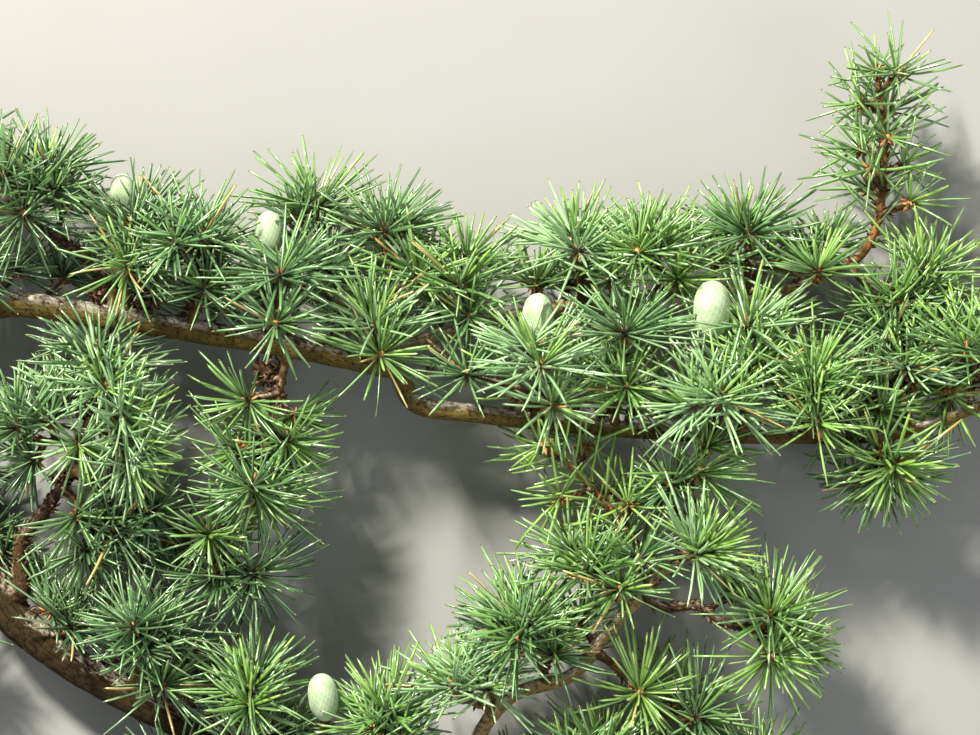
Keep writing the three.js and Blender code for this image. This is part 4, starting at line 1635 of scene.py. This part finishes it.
@dataclass
class CutFace:
    """The sawn end of the thick stem: a slightly rough disc just inside its bark."""

    growth: Growth
    rings: int = 9
    sides: int = 64
    proud: float = 0.05
    inset: float = 0.96
    grain: float = 0.03
    grain_size: float = 1.2
    depth: float = 0.6

    def build(self, shift: Array) -> None:
        """Builds the disc, dresses it and puts it on the branch."""
        limb = self.growth.limbs[LIMBS[0].name]
        middle = limb.curve.at(0.0)
        radius = limb.plan.radius[0] * self.inset
        turns = even_turns(self.sides)
        shares = np.arange(1, self.rings + 1) / self.rings
        spokes = np.stack([np.zeros(self.sides), np.cos(turns), np.sin(turns)], axis=-1)
        rows = middle + spokes[None] * (radius * shares)[:, None, None]
        flat = rows.reshape(-1, 3)
        grain = self.proud + self.grain * lumps(flat, self.grain_size, Salt.SAWN)
        front, back = flat - EAST * grain[:, None], EAST * self.depth
        corners = np.vstack([front, middle - EAST * self.proud, rows[-1] + back, middle + back])
        here = np.arange(self.sides)
        ahead = (here + 1) % self.sides
        base = (np.arange(self.rings - 1) * self.sides)[:, None]
        rim = (self.rings - 1) * self.sides
        back_at = len(front) + 1
        faces = (
            cap(ahead, here, len(front)),
            band(base + here, base + ahead, self.sides),
            band(rim + here, rim + ahead, back_at - rim),
            cap(back_at + here, back_at + ahead, back_at + self.sides),
        )
        batch = Batch("cut_end_face")
        batch.add(corners, np.vstack(faces))
        place = tuple((middle + shift) * MM)
        seat_piece(batch.make(CutWoodFinish(place).material(), shift))


@dataclass(frozen=True)
class ScaleTuft:
    """A clump of old dry scales on a limb."""

    middle: Place
    size: float
    count: int


TUFTS = (
    ScaleTuft((-89, -2, 36), 1.0, 90),
    ScaleTuft((-86, -12, 40), 0.8, 60),
    ScaleTuft((-137, 27, 40), 0.9, 70),
    ScaleTuft((-158, 31, 40), 0.7, 50),
    ScaleTuft((-21, 2, 38), 0.7, 50),
    ScaleTuft((-171, -44, 44), 0.8, 60),
)


SCALY_LIMBS = ("upper_left_twig", "left_rising_twig", "lower_riser", "lower_side_twig")


@dataclass
class Shoots:
    """Stems of the sprays and their spurs: thin bark, ringed and scaly where old needles have dropped."""

    growth: Growth
    fewest_rings: int = 6
    root: float = 1.6
    stem_sides: int = 10
    stem_ring_step: float = 1.1
    stem_swell: float = 1.12
    stem_collar: float = 0.5
    stem_collar_reach: float = 1.2
    bump: float = 0.16
    bump_size: float = 1.7
    bump_offset: float = 3.1
    bump_relief: Span = (0.5, 0.7)
    scar: float = 0.5
    scar_size: float = 2.6
    scar_offset: float = 1.7
    spur_sides: int = 8
    spur_ring_step: float = 0.62
    spur_radius: float = 1.35
    spur_ridge: float = 0.22
    ridge_step: float = 1.35
    ridge_relief: Span = (0.2, 0.8)
    spur_collar: float = 0.25
    spur_collar_reach: float = 1.5
    spur_flare: float = 0.18
    spur_rough: float = 0.08
    spur_rough_size: float = 0.8
    scale_first: float = 0.12
    spur_scale_first: float = 0.25
    limb_scale_first: float = 0.05
    scale_step: float = 0.55
    limb_scale_step: float = 0.3
    scale_sunk: float = 0.85
    scale_lean: Span = (0.7, 2.4)
    scale_length: Span = (1.4, 3.2)
    scale_by_thickness: float = 0.25
    scale_bend: float = 0.1
    scale_width: float = 0.62
    tuft_spread: float = 2.2
    tuft_length: Span = (3.0, 6.5)
    tuft_bend: float = 0.15
    tuft_width: float = 1.3
    width_shares: Span = (0.7, 1.2)
    seed: int = 4100
    scales: Blades = field(default_factory=Blades)

    def build(self, shift: Array) -> None:
        """Builds the pieces, dresses them and puts them on the branch."""
        stems, young = Batch("spray_stems"), Batch("young_shoot_stems")
        draws = np.random.default_rng(self.seed)
        for number, (plan, stem) in enumerate(zip(SPRAYS, self.growth.stems)):
            self._add_stem(young if plan.young else stems, stem, number)
            self._add_scales(stem.curve, stem.radius, self.scale_first, self.scale_step, draws)
        for cone in self.growth.cones:
            self._add_stem(stems, cone.stalk, len(self.growth.stems) + int(cone.length))
        seat_piece(stems.make(SHOOT_BARK_PAINTED_LIGHT.material(), shift))
        seat_piece(young.make(NEW_SHOOT_BARK_PAINTED_LIGHT.material(), shift))
        spurs = Batch("spurs")
        for number, spur in enumerate(self.growth.spurs):
            self._add_spur(spurs, spur, number)
            radius = (self.spur_radius, self.spur_radius)
            self._add_scales(spur.curve, radius, self.spur_scale_first, self.scale_step, draws)
        seat_piece(spurs.make(SPUR_BARK.material(), shift))
        for name in SCALY_LIMBS:
            limb = self.growth.limbs[name]
            self._add_scales(
                limb.curve, limb.plan.radius, self.limb_scale_first, self.limb_scale_step, draws
            )
        for tuft in TUFTS:
            self._add_tuft(tuft, draws)
        scales = Batch("twig_scales")
        scales.add(*self.scales.shape(SCALE_BODY, SCALE_THICKNESS))
        seat_piece(scales.make(TWIG_SCALES.material(), shift))

    def _add_scales(
        self,
        curve: Curve,
        radius: Span,
        first: float,
        step: float,
        draws: Draws,
    ) -> None:
        """Adds the dry scales that stay on the outer part of a stem, spur or twig.

        Args:
            curve: Its middle line.
            radius: Its radius at its foot and its tip.
            first: Share of its length where they begin.
            step: Length of it for each scale.
            draws: Where its numbers come from.
        """
        count = max(2, int(curve.length * (1 - first) / step))
        shares = blend(first, 1.0, draws.random(count))
        along = curve.along(shares)
        turns = draws.uniform(0, FULL_TURN, count)
        leans = draws.uniform(*self.scale_lean, count)
        outs = np.array([turned_off(*row) for row in zip(along, turns, leans)])
        thick = blend(*radius, shares)
        sides = unit(outs - along * np.sum(outs * along, axis=1)[:, None])
        bases = curve.at(shares) + sides * (self.scale_sunk * thick)[:, None]
        lengths = draws.uniform(*self.scale_length, count) + self.scale_by_thickness * thick
        bends = draws.normal(0, self.scale_bend, (count, 3))
        widths = self.scale_width * draws.uniform(*self.width_shares, count)
        rolls = draws.uniform(0, math.pi, count)
        self.scales.rows.append(blade_rows(bases, outs, bends, lengths, widths, rolls))

    def _add_tuft(self, tuft: ScaleTuft, draws: Draws) -> None:
        """Adds a clump of old scales."""
        outs = unit(draws.normal(0, 1, (tuft.count, 3)))
        bases = vector(tuft.middle) + draws.normal(0, self.tuft_spread, (tuft.count, 3)) * tuft.size
        lengths = draws.uniform(*self.tuft_length, tuft.count) * tuft.size
        bends = draws.normal(0, self.tuft_bend, (tuft.count, 3))
        widths = self.tuft_width * tuft.size * draws.uniform(*self.width_shares, tuft.count)
        rolls = draws.uniform(0, math.pi, tuft.count)
        self.scales.rows.append(blade_rows(bases, outs, bends, lengths, widths, rolls))

    def _add_stem(self, batch: Batch, stem: Shoot, number: int) -> None:
        """Adds a stem with low ridges and small scars, from within the limb to its rosette."""
        shares = even_shares(stem.curve.length, self.stem_ring_step, self.fewest_rings)
        centres = stem.curve.at(shares)
        back = np.array((self.root, self.root / 2))
        centres = np.vstack([centres[0] - stem.facing * back[:, None], centres])
        radii = np.concatenate([[stem.radius[0]] * 2, blend(*stem.radius, shares)]) * self.stem_swell
        travel = np.concatenate([-back, shares * stem.curve.length])
        reach = self.stem_collar_reach * stem.radius[0]
        radii = radii * (1 + self.stem_collar * np.exp(-np.maximum(travel, 0) / reach))
        smooth, _ = tube(centres, radii, self.stem_sides, stem.facing)
        places = smooth[:-2]
        bumps = lumps(places + number * self.bump_offset, self.bump_size, Salt.STEM)
        scars = np.maximum(0, lumps(places + number * self.scar_offset, self.scar_size, Salt.SCAR)) ** 2
        widths = np.repeat(radii, self.stem_sides) + self.bump * bumps + self.scar * scars
        widths = widths.reshape(len(centres), self.stem_sides)
        corners, faces = tube(centres, widths, self.stem_sides, stem.facing)
        relief = np.clip(self.bump_relief[0] + self.bump_relief[1] * bumps, 0, 1)
        batch.add(corners, faces, np.concatenate([relief, [1.0, 1.0]]))

    def _add_spur(self, batch: Batch, spur: Shoot, number: int) -> None:
        """Adds a spur: a short barrel with a ridge for each year's ring of scales."""
        shares = even_shares(spur.curve.length, self.spur_ring_step, self.fewest_rings)
        travel = shares * spur.curve.length
        wave = 0.5 + 0.5 * np.cos(travel * (FULL_TURN / self.ridge_step))
        collar = self.spur_collar * np.exp(-travel / self.spur_collar_reach)
        swell = 1 + collar + self.spur_flare * shares
        radii = self.spur_radius * swell - self.spur_ridge * (1 - wave)
        centres = spur.curve.at(shares)
        places = np.repeat(centres, self.spur_sides, axis=0) + number
        rough = lumps(places, self.spur_rough_size, Salt.SPUR) * self.spur_rough
        widths = (np.repeat(radii, self.spur_sides) + rough).reshape(len(shares), self.spur_sides)
        corners, faces = tube(centres, widths, self.spur_sides, spur.facing)
        relief = np.repeat(self.ridge_relief[0] + self.ridge_relief[1] * wave, self.spur_sides)
        batch.add(corners, faces, np.concatenate([relief, [1.0, 1.0]]))


@dataclass
class Foliage:
    """Needles in rosettes and along the shoots, dealt out in tints, with their points and buds."""

    growth: Growth
    needle: float = 32
    needle_shares: Span = (0.8, 1.08)
    needle_width: float = 0.65
    width_shares: Span = (0.85, 1.12)
    needle_thickness: float = 0.85
    per_rosette: int = 60
    least_full: float = 0.72
    count_shares: Span = (0.88, 1.08)
    lowest: float = -0.24
    highest: float = 0.9
    young_count: float = 0.3
    young_length: float = 1.35
    young_tip_length: float = 0.75
    shed: float = 0.6
    shed_room: float = 0.6
    shed_step: float = 2.0
    shed_checks: tuple[float, ...] = (0.35, 0.55, 0.75, 0.95)
    young_bare_end: float = 0.85
    young_room: float = 2.0
    cone_shed: float = 0.88
    cone_room: float = 1.05
    cone_bare: Span = (0.62, 0.95)
    cone_checks: int = 8
    stray: float = 0.12
    forward: float = 0.15
    flare: float = 0.03
    droop: Span = (-0.09, 0.07)
    arch: Span = (0.09, 0.06)
    aside: float = 0.04
    heart: float = 2.4
    heart_shares: Span = (0.4, 0.8)
    inner_length: float = 0.78
    inner_cosine: float = 0.78
    single_needle: float = 26
    single_step: float = 1.15
    single_lean: float = 0.55
    single_from: float = 0.8
    young_single_from: float = 0.22
    single_to: float = 0.97
    single_shares: Span = (0.75, 1.08)
    single_tip_share: float = 0.8
    single_widths: Span = (0.85, 1.05)
    single_foot: float = 0.7
    single_forward: float = 0.08
    single_seed: int = 3000
    scale_count: int = 18
    scale_counts: Span = (0.7, 1.3)
    scale_lean: Span = (-1.3, 0.7)
    scale_foot: float = 0.9
    scale_length: Span = (2.6, 6.0)
    scale_least: float = 0.75
    scale_bend: float = 0.12
    scale_width: float = 1.05
    scale_widths: Span = (0.7, 1.15)
    bud_radius: float = 2.0
    bud_length: float = 6.6
    bud_sunk: float = 2.4
    bud_rings: int = 7
    bud_sides: int = 8
    bud_blunt: float = 0.02
    bud_ridge: float = 0.1
    bud_twist: float = 9
    dry_share: float = 0.012
    silver_share: float = 0.07
    # Painted light and shade in the needles' tints: the tint turns lighter higher up and to the right as
    # painted light, and darker west of shade_west_of as painted shade. The rest is chance.
    tint_and_light: float = 0.46
    tint_light_slope: Place = (0.0011, -0.0006, 0.009)
    tint_light_height: float = 46
    tint_stray: float = 0.2
    shade_west_of: float = -70
    shade_depth: float = 0.13
    own_tint: float = 0.65
    seed: int = 5000
    needles: dict[Tone, Blades] = field(default_factory=lambda: {tone: Blades() for tone in Tone})
    scales: Blades = field(default_factory=Blades)
    owners: dict[str, Tone] = field(default_factory=dict)
    bare_rows: Array | None = None

    def build(self, shift: Array) -> None:
        """Grows the needles, makes the pieces, dresses them and puts them on the branch."""
        buds = Batch("buds")
        for number, rosette in enumerate(self.growth.rosettes):
            self._add_rosette(rosette, number)
            self._add_bud(buds, rosette)
        for index, stem in enumerate(self.growth.stems):
            self._add_singles(index, stem)
        points = Batch("needle_points", smooth=False)
        for finish in NEEDLE_FINISHES:
            tone = finish.tone
            batch = Batch(f"needles_{tone.value}", smooth=False)
            batch.add(*self.needles[tone].shape(NEEDLE_BODY, self.needle_thickness))
            points.add(*self.needles[tone].shape(NEEDLE_POINT, self.needle_thickness))
            nodes = [name for name, owner in self.owners.items() if owner is tone]
            seat_piece(batch.make(finish.material(), shift), nodes)
        seat_piece(points.make(PointFinish().material(), shift))
        scale_finish = BUD_SCALES.material()
        scales = Batch("bud_scales")
        scales.add(*self.scales.shape(SCALE_BODY, SCALE_THICKNESS))
        seat_piece(scales.make(scale_finish, shift))
        seat_piece(buds.make(scale_finish, shift))

    def _tone_of(self, rosette: Rosette, draws: Draws) -> Tone:
        """The tint of a rosette: its spray's own, or one by chance, lighter high up and to the right as
        painted light, and darker to the west as painted shade.
        """
        plan = SPRAYS[rosette.spray]
        own = TINTS.get(plan.name)
        if own and (plan.young or rosette.leading or draws.random() < self.own_tint):
            return own
        # Painted light and painted shade: lighter tints higher up and to the right, darker ones to the west.
        place = rosette.centre - UP * self.tint_light_height
        tint_and_light = self.tint_and_light + vector(self.tint_light_slope) @ place + draws.normal(0.0, self.tint_stray)
        if place[0] < self.shade_west_of:
            tint_and_light -= self.shade_depth
        if draws.random() < self.silver_share:
            return Tone.SILVER
        for limit, tone in TINT_AND_LIGHT_LIMITS:
            if tint_and_light < limit:
                return tone
        return Tone.FRESH

    def _add_rosette(self, rosette: Rosette, number: int) -> None:
        """Adds the needles and scales of one rosette."""
        draws = np.random.default_rng(self.seed + number)
        tone = self._tone_of(rosette, draws)
        if rosette.leading:
            self.owners[SPRAYS[rosette.spray].name] = tone
        young = SPRAYS[rosette.spray].young
        full = self.per_rosette * blend(self.least_full, 1.0, rosette.size)
        count = int(full * draws.uniform(*self.count_shares))
        if young:
            count = int(count * self.young_count)
        outs = self._fan(rosette.faces, count, draws)
        scale = rosette.size * draws.uniform(*self.needle_shares, count)
        if young:
            scale = scale * (self.young_tip_length if rosette.leading else self.young_length)
        height = outs @ rosette.faces
        lengths = self.needle * scale * blend(1.0, self.inner_length, np.clip(height, 0, 1) ** 2)
        bends = self._bends(outs, rosette.faces, draws)
        bases = rosette.centre + outs * self.heart * draws.uniform(*self.heart_shares, (count, 1))
        widths = self.needle_width * draws.uniform(*self.width_shares, count)
        rolls = draws.uniform(0, math.pi, count)
        dry = draws.random(count) < self.dry_share
        shed = draws.random(count) < self._shed_chance(bases, outs + bends, lengths)
        inner = ~dry & ~shed & (height > self.inner_cosine)
        outer = ~dry & ~shed & ~inner
        rows = blade_rows(bases, outs, bends, lengths, widths, rolls)
        for kept, chosen in ((tone, outer), (INNER_TONES[tone], inner), (Tone.DRY, dry)):
            self.needles[kept].rows.append(rows[chosen])
        self._add_scales(rosette, draws)

    def _shed_chance(self, bases: Array, outs: Array, lengths: Array) -> Array:
        """How likely each needle is missing, because it lies over a limb's lit side or a cone's top.

        Args:
            bases: Where they start.
            outs: Which way they go, for a length of 1.
            lengths: Their lengths.

        Returns:
            The chance of each.
        """
        if self.bare_rows is None:
            self.bare_rows = self._bare_places()
        rows = self.bare_rows
        chance = np.zeros(len(bases))
        for share in self.shed_checks:
            places = bases + outs * (lengths * share)[:, None]
            away = np.hypot(places[:, None, 0] - rows[None, :, 0], places[:, None, 1] - rows[None, :, 1])
            over = (away < rows[None, :, 3]) & (places[:, None, 2] > rows[None, :, 2])
            chance = np.maximum(chance, np.where(over, rows[None, :, 4], 0.0).max(axis=1))
        return chance

    def _bare_places(self) -> Array:
        """Places that few needles cover: each with its radius, and the chance that one there is missing."""
        rows = []
        for limb in self.growth.limbs.values():
            shares = even_shares(limb.curve.length, self.shed_step)
            rows.append((limb.curve.at(shares), limb.radius_at(shares) * self.shed_room, self.shed))
        for plan, stem in zip(SPRAYS, self.growth.stems):
            if plan.young:
                shares = even_shares(stem.curve.length, self.shed_step, end=self.young_bare_end)
                room = self.young_room * blend(*stem.radius, shares) * self.shed_room
                rows.append((stem.curve.at(shares), room, self.shed))
        for cone in self.growth.cones:
            shares = np.linspace(*self.cone_bare, self.cone_checks)[:, None]
            places = cone.seat + cone.points * (shares * cone.length)
            rows.append((places, np.full(len(places), cone.widest * self.cone_room), self.cone_shed))
        return np.vstack([np.column_stack([*row[:2], np.full(len(row[1]), row[2])]) for row in rows])

    def _fan(self, faces: Array, count: int, draws: Draws) -> Array:
        """Directions spread evenly over more than half a ball.

        Args:
            faces: The way that the rosette faces.
            count: How many.
            draws: Where its numbers come from.

        Returns:
            Unit vectors, one row for each.
        """
        side = side_of(faces)
        up = np.cross(faces, side)
        steps = np.arange(count)
        height = self.highest - (self.highest - self.lowest) * (steps + 0.5) / count
        turns = steps * GOLDEN_TURN + draws.uniform(0, FULL_TURN)
        flat = np.sqrt(1 - height**2)
        outs = (
            faces[None] * (height + self.forward)[:, None]
            + side[None] * (flat * np.cos(turns))[:, None]
            + up[None] * (flat * np.sin(turns))[:, None]
        )
        return unit(outs + draws.normal(0, self.stray, (count, 3)))

    def _bends(self, outs: Array, faces: Array, draws: Draws) -> Array:
        """How far each needle's tip bends aside: away from the middle of the rosette, and by chance."""
        flare = outs - faces[None] * (outs @ faces)[:, None]
        spread = np.linalg.norm(flare, axis=1)[:, None]
        back = draws.normal(*self.droop, (len(outs), 1))
        aside = draws.normal(0, self.aside, (len(outs), 3))
        up = NORTH * draws.normal(*self.arch, (len(outs), 1)) * spread
        return flare * self.flare + faces[None] * back * spread + aside + up

    def _add_scales(self, rosette: Rosette, draws: Draws) -> None:
        """Adds the dry scales that stand round a rosette's heart, most of them behind its needles."""
        count = int(self.scale_count * draws.uniform(*self.scale_counts))
        side = side_of(rosette.faces)
        up = np.cross(rosette.faces, side)
        turns = np.arange(count) * GOLDEN_TURN + draws.uniform(0, FULL_TURN)
        lean = draws.uniform(*self.scale_lean, count)
        outs = unit(
            side[None] * np.cos(turns)[:, None]
            + up[None] * np.sin(turns)[:, None]
            + rosette.faces[None] * lean[:, None]
        )
        bases = rosette.centre + outs * self.scale_foot
        share = blend(self.scale_least, 1.0, rosette.size)
        lengths = draws.uniform(*self.scale_length, count) * share
        bends = draws.normal(0, self.scale_bend, (count, 3))
        widths = self.scale_width * draws.uniform(*self.scale_widths, count)
        rolls = draws.uniform(0, math.pi, count)
        self.scales.rows.append(blade_rows(bases, outs, bends, lengths, widths, rolls))

    def _add_bud(self, batch: Batch, rosette: Rosette) -> None:
        """Adds the bud at a rosette's heart: a small blunt egg with rows of scales."""
        shares = np.linspace(0.0, 1.0, self.bud_rings)[:, None]
        profile = np.sqrt(np.clip(1 - (2 * shares - 1) ** 2, self.bud_blunt, 1))
        profile = profile * self.bud_radius * rosette.size
        length = self.bud_length * rosette.size
        centres = rosette.centre + rosette.faces * (shares * length - self.bud_sunk)
        rows = np.cos(np.arange(self.bud_sides) * math.pi + shares * self.bud_twist)
        batch.add(*tube(centres, profile * (1 + self.bud_ridge * rows), self.bud_sides, rosette.faces))

    def _add_singles(self, index: int, stem: Shoot) -> None:
        """Adds the single needles of a shoot: all along a long one, and near the tip of any other."""
        plan = SPRAYS[index]
        draws = np.random.default_rng(self.seed + self.single_seed + index)
        first = self.young_single_from if plan.young else self.single_from
        count = int(stem.curve.length * (self.single_to - first) / self.single_step)
        shares = blend(first, self.single_to, (np.arange(count) + draws.random(count)) / count)
        along = stem.curve.along(shares)
        outs = np.array(
            [turned_off(axis, k * GOLDEN_TURN, self.single_lean) for k, axis in enumerate(along)]
        )
        outs = unit(outs + draws.normal(0, self.stray, (count, 3)))
        bases = stem.curve.at(shares) + outs * self.growth.stem_tip * self.single_foot
        lengths = self.single_needle * draws.uniform(*self.single_shares, count)
        if not plan.young:
            lengths = lengths * self.single_tip_share
        widths = self.needle_width * draws.uniform(*self.single_widths, count)
        bends = draws.normal(0, self.aside, (count, 3)) + along * self.single_forward
        rows = blade_rows(bases, outs, bends, lengths, widths, draws.uniform(0, math.pi, count))
        self.needles[self.owners[plan.name]].rows.append(rows)


@dataclass
class YoungCones:
    """The young upright fruit: blunt eggs with low scales in spirals."""

    growth: Growth
    rings: int = 52
    sides: int = 84
    foot_power: float = 2.1
    top_power: float = 2.35
    ends: Span = (0.003, 0.997)
    rows_one: int = 13
    rows_other: int = 21
    climb_one: float = 6.5
    climb_other: float = 5.0
    depth: float = 0.1
    level: float = 0.8

    def build(self, shift: Array) -> None:
        """Builds each cone, dresses it and puts it on the branch."""
        finish = FruitFinish().material()
        for cone in self.growth.cones:
            batch = Batch(f"{cone.plan.name}_cone")
            batch.add(*self._shape(cone))
            seat_piece(batch.make(finish, shift), [cone.plan.name])

    def _shape(self, cone: Cone) -> tuple[Array, Array, Array]:
        """Corners, triangles and relief of one cone."""
        steps = np.arange(self.rings) / (self.rings - 1)
        shares = blend(*self.ends, 0.5 - 0.5 * np.cos(steps * math.pi))
        power = np.where(shares < 0.5, self.foot_power, self.top_power)
        profile = cone.widest * (1 - np.abs(2 * shares - 1) ** power) ** (1 / power)
        turns = even_turns(self.sides)[None]
        climb = shares[:, None] * FULL_TURN
        one = np.cos(self.rows_one * turns + climb * self.climb_one)
        other = np.cos(self.rows_other * turns - climb * self.climb_other)
        lattice = 0.5 + 0.25 * (one + other)
        fade = np.sqrt(np.sin(math.pi * shares))[:, None]
        widths = profile[:, None] + self.depth * (lattice - self.level) * fade
        centres = cone.seat + cone.points * (shares[:, None] * cone.length)
        corners, faces = tube(centres, widths, self.sides, cone.points)
        relief = np.clip(lattice, 0, 1).ravel()
        return corners, faces, np.concatenate([relief, [0.5, 0.5]])


@dataclass(frozen=True)
class Lamp:
    """A soft square light: where it hangs, its side, its power in watts, and its colour."""

    name: str
    place: Place
    side: float
    power: float
    colour: Colour


KEY = Lamp("key", (-0.95, 1.5, 1.55), 0.26, 128.0, (1.0, 0.97, 0.88))
FILL = Lamp("fill", (1.6, -1.1, 1.8), 1.8, 20.0, (0.92, 0.96, 1.0))


@dataclass
class Studio:
    """Plain pale floor, soft light, and a camera that looks straight down on the branch."""

    shift: Array
    view_width: float = 392
    limb_height: float = 38
    distance: float = 1500
    sensor: float = 36
    clip: Span = (0.05, 20.0)
    floor_side: float = 6.0
    sky: Colour = (0.92, 0.95, 1.0)
    sky_strength: float = 0.32

    def build(self) -> None:
        """Sets everything that isn't the branch."""
        self._floor()
        self._lights()
        self._camera()

    def _floor(self) -> None:
        """A wide flat floor."""
        half = self.floor_side / 2
        mesh = bpy.data.meshes.new("floor")
        corners = [(-half, -half, 0), (half, -half, 0), (half, half, 0), (-half, half, 0)]
        mesh.from_pydata(corners, [], [(0, 1, 2, 3)])
        mesh.materials.append(FloorFinish().material())
        floor = bpy.data.objects.new("floor", mesh)
        bpy.context.scene.collection.objects.link(floor)

    @staticmethod
    def _hang(lamp: Lamp) -> None:
        """Hangs a light and turns it to the branch."""
        light = bpy.data.lights.new(lamp.name, "AREA")
        light.size = lamp.side
        light.energy = lamp.power
        light.color = lamp.colour
        holder = bpy.data.objects.new(lamp.name, light)
        holder.location = lamp.place
        x, y, z = lamp.place
        holder.rotation_euler = (math.atan2(math.hypot(x, y), z), 0.0, math.atan2(y, x) + math.pi / 2)
        bpy.context.scene.collection.objects.link(holder)

    def _lights(self) -> None:
        """A key from the top left behind the branch, a fill from the right, and a pale sky."""
        self._hang(KEY)
        self._hang(FILL)
        world = bpy.data.worlds.new("sky")
        world.use_nodes = True
        background = world.node_tree.nodes["Background"]
        background.inputs["Color"].default_value = (*self.sky, 1.0)
        background.inputs["Strength"].default_value = self.sky_strength
        bpy.context.scene.world = world
        bpy.context.scene.view_settings.view_transform = "Standard"

    def _camera(self) -> None:
        """A camera over the middle of the view, with the view's width at the height of the limbs."""
        camera = bpy.data.cameras.new("camera")
        camera.sensor_width = self.sensor
        camera.lens = self.sensor * (self.distance - self.limb_height) / self.view_width
        camera.clip_start, camera.clip_end = self.clip
        holder = bpy.data.objects.new("camera", camera)
        holder.location = (self.shift[0] * MM, self.shift[1] * MM, self.distance * MM)
        bpy.context.scene.collection.objects.link(holder)
        bpy.context.scene.camera = holder


def frame_shift(frame: dict) -> Array:
    """From the growing frame to the model's, in millimetres, by where the sawn end's middle is."""
    mounts = {mount["name"]: mount for mount in frame["record"]["mounts"]}
    return vector(mounts["cut_end"]["pos_m"]) / MM - vector(LIMBS[0].route[0])


def main() -> None:
    """Builds every piece of the branch round its solids, and then what stands round it."""
    logging.basicConfig(level=logging.INFO, format="%(name)s: %(message)s")
    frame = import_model()
    shift = frame_shift(frame)
    growth = Growth()
    growth.grow()
    LOG.info(
        "%d stems, %d spurs, %d rosettes", len(growth.stems), len(growth.spurs), len(growth.rosettes)
    )
    Bark("thick_stem_bark", ("stem_base", "stem_far"), OLD_BARK_PAINTED_SHADE, Slot.BARK, growth).build(shift)
    Bark("main_limb_bark", ("main_near", "main_far"), GROWN_BARK_PAINTED_LIGHT, Slot.BARK, growth).build(shift)
    for name, chain, finish in (
        ("rear_limb_bark", ("rear_limb",), BRANCH_BARK_PAINTED_LIGHT),
        ("upper_left_twig_bark", ("upper_left_twig",), TWIG_BARK),
        ("left_rising_twig_bark", ("left_rising_twig",), TWIG_BARK),
        ("lower_branch_bark", ("lower_branch", "lower_riser"), BRANCH_BARK_PAINTED_LIGHT),
        ("lower_side_twig_bark", ("lower_side_twig",), TWIG_BARK),
    ):
        Bark(name, chain, finish, Slot.YOUNG_BARK, growth, ring_step=0.8, side_width=0.65).build(shift)
    CutFace(growth).build(shift)
    Shoots(growth).build(shift)
    Foliage(growth).build(shift)
    YoungCones(growth).build(shift)
    Studio(shift).build()


if __name__ == "__main__":
    main()
